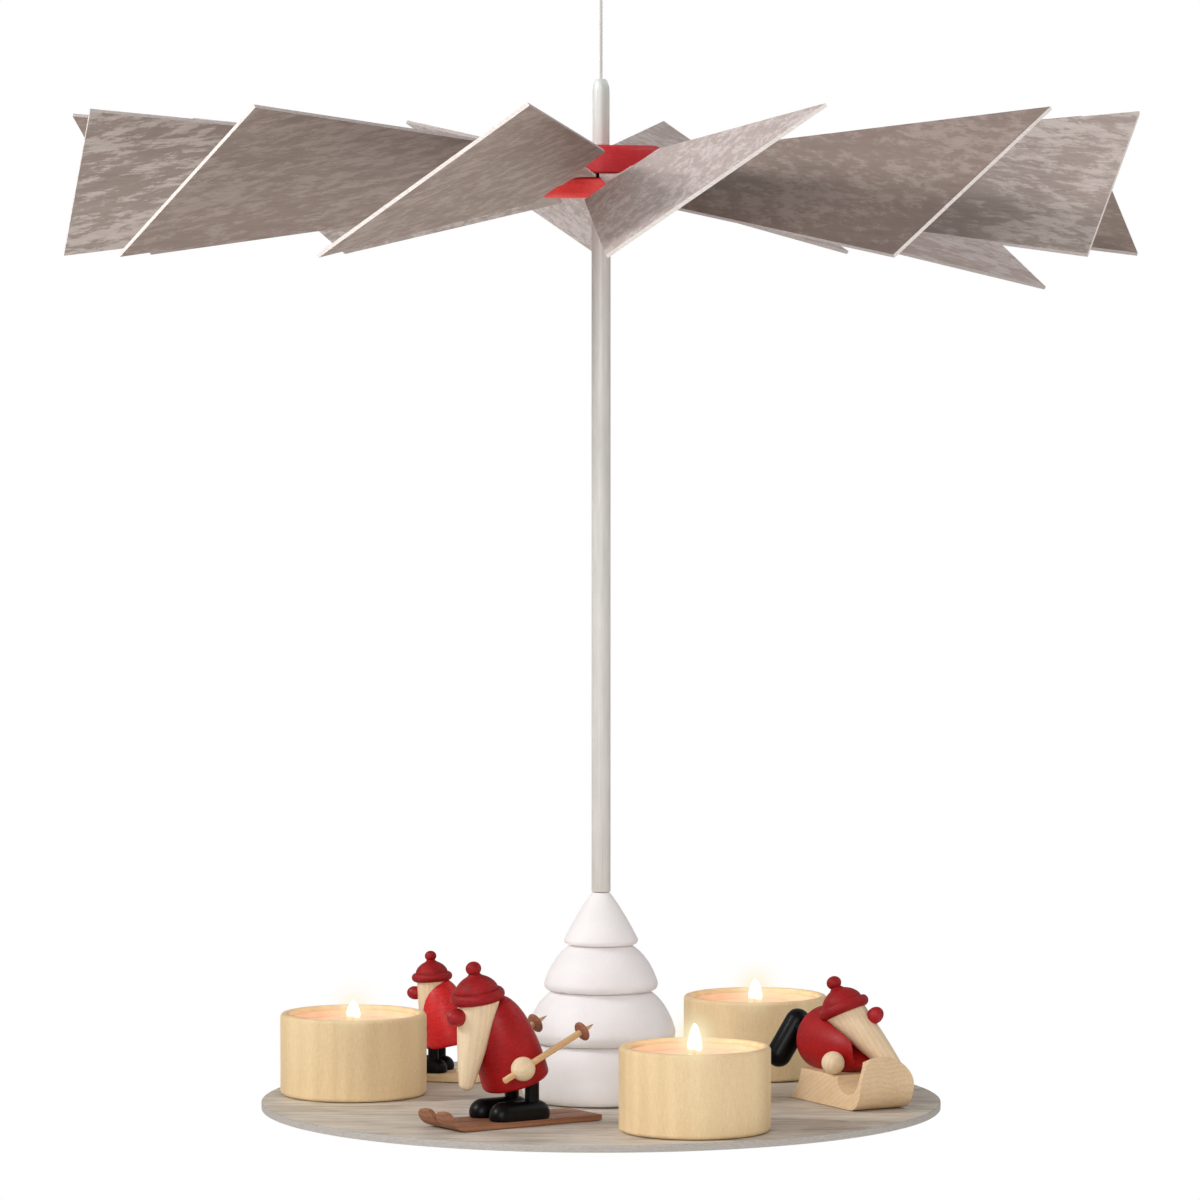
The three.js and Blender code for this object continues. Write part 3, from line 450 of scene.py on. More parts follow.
def settled(obj):
    """Turns an object's modifiers into its own mesh."""
    bpy.context.view_layer.update()
    graph = bpy.context.evaluated_depsgraph_get()
    data = bpy.data.meshes.new_from_object(obj.evaluated_get(graph))
    obj.modifiers.clear()
    obj.data = data
    smoothed(data)
    return obj


def combined(obj, operation, *tools):
    """Cuts tools from an object or keeps what it shares with them; the tools are used up."""
    for tool in tools:
        step = obj.modifiers.new(operation, "BOOLEAN")
        step.operation = operation
        step.solver = "EXACT"
        step.object = tool
    settled(obj)
    for tool in tools:
        bpy.data.objects.remove(tool)
    mesh = bmesh.new()
    mesh.from_mesh(obj.data)
    bmesh.ops.remove_doubles(mesh, verts=mesh.verts, dist=WELD * MM)
    mesh.to_mesh(obj.data)
    mesh.free()
    smoothed(obj.data)
    return obj


def softened(obj):
    """Eases the sawn edges of an object."""
    step = obj.modifiers.new("edges", "BEVEL")
    step.width = SAWN_EDGE * MM
    step.segments = SAWN_EDGE_STEPS
    step.limit_method = "ANGLE"
    step.angle_limit = math.radians(SAWN_EDGE_MIN_DEG)
    return settled(obj)


def dressed(obj, material, body="pyramid", nodes=()):
    """Gives a piece its material, hides what it stands for and sets it on its body."""
    obj.data.materials.clear()
    obj.data.materials.append(material)
    if nodes:
        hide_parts(*nodes)
    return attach(obj, body)


def edged(obj, material, faces):
    """Gives some faces of a piece, by number, one more material."""
    obj.data.materials.append(material)
    for number in faces:
        obj.data.polygons[number].material_index = len(obj.data.materials) - 1


# Colours
def shade(red, green, blue):
    """Linear colour of a display colour given as 0 to 255."""
    parts = []
    for value in (red / 255, green / 255, blue / 255):
        parts.append(value / 12.92 if value <= 0.04045 else ((value + 0.055) / 1.055) ** 2.4)
    return (*parts, 1)


# Nodes
def add_node(tree, kind, inputs=None, **settings):
    """A new node with its settings made and its inputs set or linked."""
    node = tree.nodes.new(kind)
    for key, value in settings.items():
        setattr(node, key, value)
    for key, value in (inputs or {}).items():
        if isinstance(value, bpy.types.NodeSocket):
            tree.links.new(value, node.inputs[key])
        else:
            node.inputs[key].default_value = value
    return node


class Surface:
    """A material whose detail is built from nodes round one shader."""

    def __init__(self, name, source="Object", **sockets):
        self.source = source
        self.material = bpy.data.materials.new(name)
        self.material.use_nodes = True
        self.tree = self.material.node_tree
        self.shader = self.tree.nodes["Principled BSDF"]
        for socket, value in sockets.items():
            self.shader.inputs[socket.replace("_", " ")].default_value = value

    def node(self, kind, inputs=None, **settings):
        return add_node(self.tree, kind, inputs, **settings)

    def feed(self, socket, value):
        self.tree.links.new(value, self.shader.inputs[socket])

    def grid(self, steps, turned_by=(0, 0, 0)):
        """Coordinates that grow by one for each step in millimetres along x, y and z."""
        inputs = {
            "Vector": self.node("ShaderNodeTexCoord").outputs[self.source],
            "Scale": [step * MM for step in steps],
            "Rotation": [math.radians(angle) for angle in turned_by],
        }
        return self.node("ShaderNodeMapping", inputs, vector_type="TEXTURE").outputs[0]

    def noise(self, steps, detail, roughness=0.55, distortion=0.0, turned_by=(0, 0, 0)):
        inputs = {
            "Vector": self.grid(steps, turned_by), "Scale": 1.0,
            "Detail": detail, "Roughness": roughness, "Distortion": distortion,
        }
        return self.node("ShaderNodeTexNoise", inputs).outputs["Fac"]

    def total(self, *parts):
        """Sum of (value, weight) pairs."""
        whole = None
        for value, weight in parts:
            inputs = {0: value, 1: weight, 2: 0.0 if whole is None else whole}
            whole = self.node("ShaderNodeMath", inputs, operation="MULTIPLY_ADD").outputs[0]
        return whole

    def ramp(self, value, *stops):
        """Colour along (position, colour) stops."""
        ramp = self.node("ShaderNodeValToRGB", {"Fac": value})
        points = ramp.color_ramp.elements
        while len(points) < len(stops):
            points.new(0.5)
        for point, (position, colour) in zip(points, stops):
            point.position = position
            point.color = colour
        return ramp.outputs["Color"]

    def tone(self, value, dark, light, low_in=0.3, high_in=0.7):
        """Feeds a colour that goes from dark to light as a value rises."""
        stops = ((low_in, shade(*dark)), (high_in, shade(*light)))
        self.feed("Base Color", self.ramp(value, *stops))

    def span(self, value, start, end, low_in=0.3, high_in=0.7):
        inputs = {"Value": value, "From Min": low_in, "From Max": high_in}
        inputs.update({"To Min": start, "To Max": end})
        return self.node("ShaderNodeMapRange", inputs).outputs[0]

    def bump(self, height, strength, depth):
        inputs = {"Height": height, "Strength": strength, "Distance": depth * MM}
        self.feed("Normal", self.node("ShaderNodeBump", inputs).outputs[0])


# Materials
def bare_wood(name, dark, light, rings=4.0, slant=(0, 0, 0), contrast=0.5, fleck=12):
    """Pale turned or sawn wood with growth lines along its own Z axis, fine flecks and faint clouds."""
    wood = Surface(name, Specular_IOR_Level=0.3)
    lines = {"Vector": wood.grid((rings, rings, rings * 20), slant), "Scale": BAND_SCALE}
    lines.update({"Distortion": 7, "Detail": 2, "Detail Scale": 0.7})
    growth = wood.node("ShaderNodeTexWave", lines, wave_type="BANDS", bands_direction="X").outputs["Fac"]
    fibre = wood.noise((0.7, 0.7, fleck), 3, 0.6, turned_by=slant)
    cloud = wood.noise((10, 10, 60), 2, turned_by=slant)
    speck = wood.noise((0.9, 0.9, 0.9), 2, 0.7)
    figure = wood.total((growth, 0.3 * contrast), (fibre, 0.35), (cloud, 0.25), (speck, 0.3))
    centre, spread = 0.45 + 0.15 * contrast, 0.22
    wood.tone(figure, dark, light, centre - spread, centre + spread)
    wood.feed("Roughness", wood.span(fibre, 0.62, 0.48))
    wood.bump(wood.total((fibre, 0.7), (speck, 0.3)), 0.1, 0.1)
    return wood.material


def stained_wood(name, dark, light, gloss, specular=0.35):
    """Wood stained through: an even tone broken by fine specks, lathe marks and soft clouds."""
    stain = Surface(name, Specular_IOR_Level=specular)
    speck = stain.noise((0.7, 0.7, 0.7), 3, 0.65)
    marks = stain.noise((6, 6, 0.6), 3, 0.6)
    cloud = stain.noise((11, 11, 20), 2)
    tone = stain.total((speck, 0.5), (marks, 0.35), (cloud, 0.3))
    stain.tone(tone, dark, light, 0.42, 0.74)
    stain.feed("Roughness", stain.span(speck, gloss + 0.08, gloss - 0.08))
    stain.bump(stain.total((speck, 0.8), (marks, 0.3)), 0.3, 0.2)
    return stain.material


def lacquered_wood(name, dark, light):
    """Opaque matte lacquer with a faint orange-peel surface."""
    paint = Surface(name, Specular_IOR_Level=0.35)
    peel = paint.noise((0.8, 0.8, 0.8), 2)
    cloud = paint.noise((14, 14, 14), 2)
    paint.tone(paint.total((cloud, 0.5), (peel, 0.5)), dark, light)
    paint.feed("Roughness", paint.span(peel, 0.56, 0.48))
    paint.bump(peel, 0.1, 0.1)
    return paint.material


def brushed_metal(name, tint, gloss, metallic):
    """Metal drawn along its own Z axis, with fine lengthwise lines."""
    metal = Surface(name, Metallic=metallic)
    lines = metal.noise((0.25, 0.25, 30), 2)
    cloud = metal.noise((6, 6, 25), 2)
    dark = tuple(value * 0.9 for value in tint)
    metal.tone(metal.total((lines, 0.6), (cloud, 0.4)), dark, tint, 0.35, 0.65)
    metal.feed("Roughness", metal.span(lines, gloss + 0.06, gloss - 0.06))
    metal.bump(lines, 0.06, 0.05)
    return metal.material


def veneer(grade, figure, tint):
    """Grey veneer with silvery flakes drawn out along the blade, on the sheet's own flat map."""
    # The tint scales the sheet's colours: above 1 it is painted light on a lit blade, below 1 painted
    # shade on a shaded one
    def stain(*colour):
        return shade(*[min(part * share, 250) for part, share in zip(colour, tint)])

    sheet = Surface(f"blade_veneer_{grade}", "UV", Specular_IOR_Level=0.3)
    flakes = sheet.noise((6, 19, 1), 10, 0.74, 0.15, (0, 0, 18))
    drift = sheet.noise((45, 90, 1), 2)
    fibre = sheet.noise((0.7, 12, 1), 4, 0.62)
    streak = sheet.noise((6, 130, 1), 3)
    picked = sheet.total((flakes, 0.8), (drift, 0.25), (fibre, 0.08))
    mask = sheet.span(picked, 0.0, figure, 0.555, 0.605)
    ground = sheet.ramp(
        sheet.total((fibre, 0.35), (streak, 0.3), (flakes, 0.35)),
        (0.36, stain(146, 132, 125)), (0.64, stain(170, 156, 149)),
    )
    silver = sheet.ramp(
        sheet.total((fibre, 0.5), (flakes, 0.5)),
        (0.4, stain(180, 168, 162)), (0.68, stain(212, 202, 197)),
    )
    mix = sheet.node("ShaderNodeMix", {0: mask, 6: ground, 7: silver}, data_type="RGBA")
    sheet.feed("Base Color", mix.outputs[2])
    sheet.feed("Roughness", sheet.span(picked, 0.6, 0.48))
    sheet.bump(sheet.total((fibre, 0.7), (flakes, 0.3)), 0.15, 0.12)
    return sheet.material


def clouded(name, steps, dark, light, detail, relief=(0.1, 0.1), low_in=0.3, **sockets):
    """A plain stuff whose tone and relief follow one noise, stretched by steps along x, y and z."""
    stuff = Surface(name, **sockets)
    cloud = stuff.noise(steps, detail)
    stuff.tone(cloud, dark, light, low_in)
    stuff.bump(cloud, *relief)
    return stuff.material


def cut_edge(name, dark, light):
    """Ply that shows where a veneered sheet is cut."""
    return clouded(name, (2.5, 2.5, 0.4), dark, light, 3, Specular_IOR_Level=0.3, Roughness=0.55)


def plate_veneer():
    """Weathered grey veneer with long streaks along X."""
    sheet = Surface("plate_veneer", Specular_IOR_Level=0.35)
    streak = sheet.noise((32, 4, 4), 5, 0.64, 0.6)
    smoke = sheet.noise((42, 17, 17), 4, 0.6, 0.6)
    fibre = sheet.noise((9, 0.4, 0.4), 3, 0.6)
    tone = sheet.total((streak, 0.45), (smoke, 0.45), (fibre, 0.15))
    dark, middling, light = shade(152, 143, 130), shade(202, 192, 178), shade(228, 219, 206)
    sheet.feed("Base Color", sheet.ramp(tone, (0.38, dark), (0.52, middling), (0.68, light)))
    sheet.feed("Roughness", sheet.span(streak, 0.55, 0.42))
    sheet.bump(fibre, 0.12, 0.1)
    return sheet.material


def flame_glow():
    """Light along the flame's own Z axis, from a clear warm foot to a white body."""
    glow = Surface("flame_glow", Roughness=1.0, Specular_IOR_Level=0.0, Emission_Strength=FLAME_STRENGTH)
    place = glow.node("ShaderNodeTexCoord").outputs["Object"]
    height = glow.node("ShaderNodeSeparateXYZ", {"Vector": place}).outputs["Z"]
    flicker = glow.noise((4, 4, 8), 1)
    share = glow.span(height, 0.0, 1.0, 0.0, max(FLAME_HEIGHTS) * MM)
    rise = glow.total((share, 0.9), (flicker, 0.2))
    foot, waist, body = (0.1, 0.055, 0.032, 1), (0.13, 0.08, 0.042, 1), (1, 0.98, 0.94, 1)
    colour = glow.ramp(rise, (0.1, foot), (0.27, waist), (0.5, body))
    glow.feed("Emission Color", colour)
    glow.feed("Base Color", colour)
    glow.feed("Alpha", glow.span(rise, 0.35, 1.0, 0.08, 0.28))
    return glow.material


STEEL = brushed_metal("brushed_steel", (201, 200, 198), 0.3, 1.0)
ROD_METAL = brushed_metal("satin_rod", (224, 221, 215), 0.5, 0.2)
# The upper rod is the same metal as the lower; its greener, lighter tint is painted to cancel the red
# light that the hub bounces onto it
UPPER_ROD_BOUNCE_CANCELLING_METAL = brushed_metal("satin_upper_rod_against_red_bounce", (232, 236, 231), 0.5, 0.2)
# The two hub discs are one red wood: the lower disc's brighter stain is painted light from the front,
# the upper disc's darker stain is painted shade from the blades above it
HUB_LIT_AND_SHADED_REDS = {
    "hub_lower_disc": stained_wood("hub_lower_lit_stain", (232, 46, 50), (250, 84, 76), 0.46),
    "hub_upper_disc": stained_wood("hub_upper_shaded_stain", (186, 27, 37), (212, 52, 56), 0.46),
}
TREE_WHITE = lacquered_wood("tree_lacquer", (239, 235, 235), (247, 244, 244))
COAT_RED = stained_wood("coat_stain", (130, 3, 8), (186, 20, 22), 0.46, 0.26)
# A lighter copy of the coat stain: painted light from the candle flame beside the rider
RIDER_CANDLELIT_RED = stained_wood("rider_coat_candlelit_stain", (172, 14, 20), (236, 46, 46), 0.46, 0.3)
HAT_RED = stained_wood("hat_stain", (120, 6, 12), (172, 24, 28), 0.56, 0.26)
NOSE_RED = stained_wood("nose_stain", (136, 6, 14), (184, 26, 32), 0.46)
BOOT_BLACK = stained_wood("boot_stain", (2, 2, 2), (13, 12, 13), 0.36, 0.16)
HOLDER_WOOD = bare_wood("holder_maple", (220, 189, 143), (245, 219, 174), 9, (0, 0, 30), 0.3, 3.5)
BEARD_WOOD = bare_wood("beard_lime", (215, 187, 150), (243, 220, 186), 2.2, (0, 9, 20), 0.35)
POLE_WOOD = bare_wood("pole_beech", (198, 154, 104), (234, 196, 146), 1.8)
BASKET_WOOD = bare_wood("basket_walnut", (126, 78, 58), (172, 114, 90), 1.6)
BOARD_WOOD = bare_wood("board_maple", (212, 184, 138), (238, 214, 172), 3, (0, 90, 0))
SKI_WOOD = bare_wood("ski_walnut", (126, 82, 58), (176, 122, 92), 2.6, (0, 90, 0), 0.5)
SLED_WOOD = bare_wood("sled_beech", (206, 172, 132), (238, 210, 172), 2.2, (0, 62, 0), 0.25, 4.5)
# The flakes' figure is the veneer's own; the tints are painted light and shade: silver and pale lighten
# lit blades, plain darkens blades in a neighbour's shadow
BLADE_FACES_WITH_PAINTED_LIGHT = {
    "plain": veneer("plain", 0.46, (0.905, 0.873, 0.853)),
    "mild": veneer("mild", 0.4, (0.98, 0.945, 0.92)),
    "flaky": veneer("flaky", 1.0, (0.98, 0.97, 0.96)),
    "pale": veneer("pale", 0.62, (1.09, 1.09, 1.09)),
    "silver": veneer("silver", 0.5, (1.22, 1.22, 1.24)),
}
BLADE_EDGE = cut_edge("blade_cut_edge", (222, 211, 204), (246, 238, 233))
BLADE_SIDE = cut_edge("blade_stained_side", (176, 165, 160), (204, 194, 190))
PLATE_PLY = cut_edge("plate_cut_edge", (170, 163, 155), (192, 185, 178))
PLATE_GREY = plate_veneer()
WAX_TONES = ((254, 210, 174), (255, 222, 192))
WAX = clouded(
    "candle_wax", (8, 8, 8), *WAX_TONES, 3, (0.1, 0.3),
    Subsurface_Weight=0.4, Subsurface_Radius=(0.006, 0.004, 0.002), Roughness=0.38,
)
CUP = clouded(
    "tea_light_cup_shell", (12, 12, 30), *WAX_TONES, 2, (0.05, 0.1),
    Roughness=0.3, Transmission_Weight=0.1, IOR=1.49,
)
WICK = clouded(
    "charred_wick", (0.4, 0.4, 0.7), (30, 8, 8), (112, 22, 16), 2, (0.5, 0.2), 0.35,
    Roughness=0.9,
)
CORD_FIBRE = clouded(
    "cord_fibre", (0.12, 0.12, 0.5), (196, 192, 186), (238, 236, 232), 3, (0.3, 0.05),
    Roughness=0.8, Sheen_Weight=0.3,
)
FLAME_GLOW = flame_glow()


# Camera, light and floor
def camera():
    data = bpy.data.cameras.new("camera")
    data.lens = CAMERA_LENS
    data.sensor_width = CAMERA_SENSOR
    data.clip_end = CAMERA_CLIP_METRES
    place = at(CAMERA_X, -CAMERA_DISTANCE, PLATE_TOP + CAMERA_OVER_PLATE)
    bpy.context.scene.camera = placed("camera", data, place @ turn(QUARTER - CAMERA_TILT, "X"))


def soft_box(name, place, size, power, aim, spread):
    """A square light aimed at a height on the axis, as wide as its grid lets it spread."""
    data = bpy.data.lights.new(name, "AREA")
    data.size = size * MM
    data.spread = math.radians(spread)
    data.energy = power
    away = Vector(place) - Vector((0, 0, aim))
    placed(name, data, at(*place) @ away.to_track_quat("Z", "Y").to_matrix().to_4x4())


def studio():
    """A white room with a little more light from above, seen by the camera as plain white."""
    world = bpy.data.worlds.new("studio")
    bpy.context.scene.world = world
    world.use_nodes = True
    tree = world.node_tree
    tree.nodes.clear()
    place = add_node(tree, "ShaderNodeTexCoord").outputs["Generated"]
    up = add_node(tree, "ShaderNodeSeparateXYZ", {0: place}).outputs["Z"]
    height = add_node(tree, "ShaderNodeMapRange", {"Value": up, "From Min": -1}).outputs[0]
    ramp = add_node(tree, "ShaderNodeValToRGB", {"Fac": height})
    for point, colour in zip(ramp.color_ramp.elements, ROOM_TONES):
        point.color = colour
    room = add_node(tree, "ShaderNodeBackground", {"Color": ramp.outputs["Color"]}).outputs[0]
    white = add_node(tree, "ShaderNodeBackground", {"Color": (1, 1, 1, 1)}).outputs[0]
    seen = add_node(tree, "ShaderNodeLightPath").outputs["Is Camera Ray"]
    mix = add_node(tree, "ShaderNodeMixShader", {0: seen, 1: room, 2: white}).outputs[0]
    add_node(tree, "ShaderNodeOutputWorld", {"Surface": mix})
    for name, box in SOFT_BOXES.items():
        soft_box(name, *box)
    bpy.context.scene.view_settings.view_transform = "Standard"


def candle_glow():
    """Warm halo that a lens sees round the flames, the only things brighter than the white room."""
    scene = bpy.context.scene
    scene.use_nodes = True
    tree = scene.node_tree
    tree.nodes.clear()

    def worked_out(operation, first, second, clamped=True):
        inputs, settings = {0: first, 1: second}, {"operation": operation, "use_clamp": clamped}
        return add_node(tree, "CompositorNodeMath", inputs, **settings).outputs[0]

    picture = add_node(tree, "CompositorNodeRLayers").outputs["Image"]
    grey = add_node(tree, "CompositorNodeRGBToBW", {0: picture}).outputs[0]
    bright = worked_out("GREATER_THAN", grey, GLOW_THRESHOLD, False)
    shares = {"Vector Value": (GLOW_REACH, GLOW_REACH), "Image": picture}
    reach = add_node(tree, "CompositorNodeRelativeToPixel", shares, data_type="VECTOR")
    spread = {"Image": bright, "Size": reach.outputs["Vector Value"]}
    blur = add_node(tree, "CompositorNodeBlur", spread, filter_type="FAST_GAUSS").outputs[0]
    around = worked_out("SUBTRACT", worked_out("MULTIPLY", blur, GLOW_STRENGTH), bright)
    warm = add_node(tree, "CompositorNodeMixRGB", {0: around, 1: picture, 2: GLOW_COLOUR}).outputs[0]
    add_node(tree, "CompositorNodeComposite", {"Image": warm})


def floor():
    """A pale floor whose glow grows to the room's white at its rim."""
    foot = -FLOOR_THICKNESS
    outline = [(0, foot), (FLOOR_RADIUS, foot), (FLOOR_RADIUS, 0), (0, 0)]
    obj = turned("floor", outline, FINE, at(0, 0, PLATE_TOP - FLOOR_DROP))
    pale = Surface("pale_floor", Roughness=0.8, Emission_Color=(1, 1, 1, 1))
    place = pale.node("ShaderNodeTexCoord").outputs["Object"]
    reach = pale.node("ShaderNodeVectorMath", {0: place}, operation="LENGTH").outputs["Value"]
    fade = [distance * MM for distance in FLOOR_FADE]
    pale.feed("Emission Strength", pale.span(reach, *FLOOR_GLOW, *fade))
    pale.tone(pale.noise((200, 200, 200), 2), (238, 237, 236), (246, 245, 244))
    obj.data.materials.append(pale.material)


# Suspension
def spoke(turns):
    """One millimetre straight out from an axis, after some turns round it."""
    angle = 2 * math.pi * turns
    return Vector((math.cos(angle), math.sin(angle), 0))


def hanging_cord():
    """Twisted cord, held taut between the stop ball in the rod and the eye's ferrule."""
    foot, top = low("hanging_cord").z, high("hanging_cord").z
    strand = CORD_DIAMETER / 2 / (1 + 1 / math.sin(math.pi / CORD_STRANDS))
    reach = CORD_DIAMETER / 2 - strand
    steps = 180
    sides = 10
    section = [spoke(side / sides) * strand for side in range(sides)]
    mesh = bmesh.new()
    for part in range(CORD_STRANDS):
        rows = []
        for step in range(steps + 1):
            height = foot + (top - foot) * step / steps
            out = spoke(part / CORD_STRANDS + (height - foot) / CORD_LAY_LENGTH)
            centre = out * reach + Vector((0, 0, height))
            rows.append([mesh.verts.new((centre + offset) * MM) for offset in section])
        mesh.faces.new(rows[0])
        mesh.faces.new(rows[-1])
        bridge(mesh, rows, sides)
    obj = made("cord", mesh, sharp=CORD_SHARP_DEG)
    dressed(obj, CORD_FIBRE, "suspension", ["hanging_cord"])
    return obj, foot, top


def hanging_eye():
    """Wire ring with a crimped ferrule that takes the cord's end."""
    wire = EYE_WIRE / 2
    mesh = bmesh.new()
    section = arc(((EYE_OPENING + EYE_WIRE) / 2, 0), wire, 0, 360, 20)[:-1]
    spin(mesh, section, FINE, at(0, 0, -EYE_OPENING / 2) @ turn(QUARTER, "X"), ring=True)
    foot, radius, half = low("hanging_eye").z, FERRULE_DIAMETER / 2, CRIMP_WIDTH / 2
    barrel = [(0, foot), (radius, foot)]
    for i in range(CRIMP_COUNT):
        centre = foot + CRIMP_SPACING * (i + 1)
        barrel += [(radius, centre - half), (radius - CRIMP_DEPTH, centre), (radius, centre + half)]
    top = foot + FERRULE_LENGTH
    barrel += [(radius, top - radius), (wire, top), (0, top)]
    spin(mesh, eased(barrel, FERRULE_EDGE), COARSE)
    return dressed(made("eye", mesh), STEEL, "suspension", ["hanging_eye"])


def stop_ball():
    """Ball with a flat at each end, where the cord goes through it."""
    centre = middle("cord_stop_ball").z
    radius = (high("cord_stop_ball").z - low("cord_stop_ball").z) / 2
    flat = 20
    end = radius * math.cos(math.radians(flat))
    profile = [(0, -end), *arc((0, 0), radius, flat - 90, 90 - flat, 16), (0, end)]
    obj = turned("stop_ball", profile, COARSE, at(0, 0, centre))
    return dressed(obj, STEEL, "suspension", ["cord_stop_ball"])


def suspension():
    cord, foot, top = hanging_cord()
    eye, ball = hanging_eye(), stop_ball()


# Rods
def rods():
    foot, top = low("upper_rod").z, high("upper_rod").z
    radius, tip, hole = UPPER_ROD_DIAMETER / 2, NOSE_TIP_DIAMETER / 2, CORD_HOLE_DIAMETER / 2
    bore = TENON_DIAMETER / 2 + SEAT
    nose = bow((radius, top - NOSE_LENGTH), (radius, top - NOSE_LENGTH / 3), (tip, top), 14)
    seat = high("cord_stop_ball").z
    upper = [*eased([(bore, foot), (radius, foot), nose[0]], ROD_EDGE)[:-1], *nose]
    upper += [(hole, top), (hole, seat), (bore, seat - bore)]
    dressed(turned("rod_upper", upper, ring=True), UPPER_ROD_BOUNCE_CANCELLING_METAL, nodes=["upper_rod"])
    tenon, radius = TENON_DIAMETER / 2, LOWER_ROD_DIAMETER / 2
    shoulder, collar = high("tree_tier_1").z + SEAT, low("hub_lower_disc").z - SEAT
    foot, top = low("lower_rod").z, high("lower_rod").z
    lower = [
        (0, foot), (tenon, foot), (tenon, shoulder), (radius, shoulder),
        (radius, collar), (tenon, collar), (tenon, top), (0, top),
    ]
    dressed(turned("rod_lower", eased(lower, ROD_EDGE)), ROD_METAL, nodes=["lower_rod"])


# Fan wheel
def hub():
    radius, bore = HUB_DIAMETER / 2, TENON_DIAMETER / 2 + SEAT
    for node, foot_round, top_round in (
        ("hub_lower_disc", HUB_EDGE_RADIUS, HUB_INNER_EDGE_RADIUS),
        ("hub_upper_disc", HUB_INNER_EDGE_RADIUS, HUB_EDGE_RADIUS),
    ):
        foot, top = low(node).z, high(node).z
        profile = [(bore, foot), *arc((radius - foot_round, foot + foot_round), foot_round, -90, 0, 10)]
        profile += [*arc((radius - top_round, top - top_round), top_round, 0, 90, 10), (bore, top)]
        disc = turned(f"{node}_turned", profile, FINE, ring=True)
        # each disc takes its own red: painted light on the lower disc, painted shade on the upper
        dressed(disc, HUB_LIT_AND_SHADED_REDS[node], nodes=[node])


def blade_stations():
    """Radius and width of a blade from its tongue in the hub, along the neck, to its tip."""
    hub_radius = HUB_DIAMETER / 2
    neck_end = BLADE_ROOT_RADIUS - BLADE_NECK_FILLET
    neck_steps, fillet_steps, sheet_steps = 16, 8, 12
    stations = [(BLADE_TONGUE_INNER_RADIUS, BLADE_TONGUE_INNER_WIDTH)]
    for i in range(neck_steps + 1):
        stations.append((hub_radius + (neck_end - hub_radius) * i / neck_steps, BLADE_NECK_WIDTH))
    for i in range(1, fillet_steps + 1):
        angle = math.pi / 2 * i / fillet_steps
        widening = 2 * BLADE_NECK_FILLET * (1 - math.cos(angle))
        radius = neck_end + (BLADE_NECK_FILLET - SEAT) * math.sin(angle)
        stations.append((radius, BLADE_NECK_WIDTH + widening))
    for i in range(sheet_steps + 1):
        share = i / sheet_steps
        radius = BLADE_ROOT_RADIUS + (BLADE_TIP_RADIUS - BLADE_ROOT_RADIUS) * share
        stations.append((radius, BLADE_ROOT_WIDTH + (BLADE_TIP_WIDTH - BLADE_ROOT_WIDTH) * share))
    return stations


def blade_set(radius, tip_droop):
    """Twist and droop of the sheet: flat in the hub, at full pitch where the neck ends."""
    hub_radius = HUB_DIAMETER / 2
    out = max(radius - hub_radius, 0)
    share = min(out / (BLADE_ROOT_RADIUS - BLADE_NECK_FILLET - hub_radius), 1)
    twist = math.radians(BLADE_PITCH_DEG) * share * share * (3 - 2 * share)
    return twist, tip_droop * out / (BLADE_TIP_RADIUS - hub_radius)


def blade_rows(mesh, index):
    """Corners of a blade along -Y, row by row on both faces, and where each lies on the flat sheet."""
    tip_droop = LOW_BLADE_TIP_DROOP if index + 1 == LOW_BLADE else BLADE_TIP_DROOP
    rows, flat = [], {}
    for radius, width in blade_stations():
        twist, droop = blade_set(radius, tip_droop)
        faces = []
        for t in (-BLADE_THICKNESS / 2, BLADE_THICKNESS / 2):
            line = []
            for column in range(BLADE_COLUMNS + 1):
                s = width * (column / BLADE_COLUMNS - 0.5)
                x = s * math.cos(twist) - t * math.sin(twist)
                z = s * math.sin(twist) + t * math.cos(twist) - droop
                vert = mesh.verts.new(Vector((x, -radius, z)) * MM)
                flat[vert] = Vector((s, radius)) * MM + BLADE_MAP_SHIFT * index
                line.append(vert)
            faces.append(line)
        rows.append(faces)
    return rows, flat


def blade(index):
    """One thin blade with veneered faces, bare ends and stained sides."""
    mesh = bmesh.new()
    sheet_map = mesh.loops.layers.uv.new("sheet")
    rows, flat = blade_rows(mesh, index)
    ends = [mesh.faces.new(end[0] + end[1][::-1]) for end in (rows[0], rows[-1])]
    sides = []
    for before, after in zip(rows, rows[1:]):
        for near, far in zip(before, after):
            bridge(mesh, (near, far), BLADE_COLUMNS)
        for i in (0, BLADE_COLUMNS):
            sides.append(mesh.faces.new((before[0][i], before[1][i], after[1][i], after[0][i])))
    mesh.faces.index_update()
    end_numbers, side_numbers = ([face.index for face in faces] for faces in (ends, sides))
    for face in mesh.faces:
        for loop in face.loops:
            loop[sheet_map].uv = flat[loop.vert]
    node = f"blade_{index + 1:02d}"
    plane = (high("hub_lower_disc").z + low("hub_upper_disc").z) / 2
    place = at(0, 0, plane) @ turn(BLADE_START_DEG + 360 * index / BLADE_COUNT, "Z")
    obj = made(f"{node}_sheet", mesh, place)
    dressed(obj, BLADE_FACES_WITH_PAINTED_LIGHT[BLADE_GRADES_WITH_PAINTED_LIGHT[index]], nodes=[node])
    edged(obj, BLADE_EDGE, end_numbers)
    edged(obj, BLADE_SIDE, side_numbers)


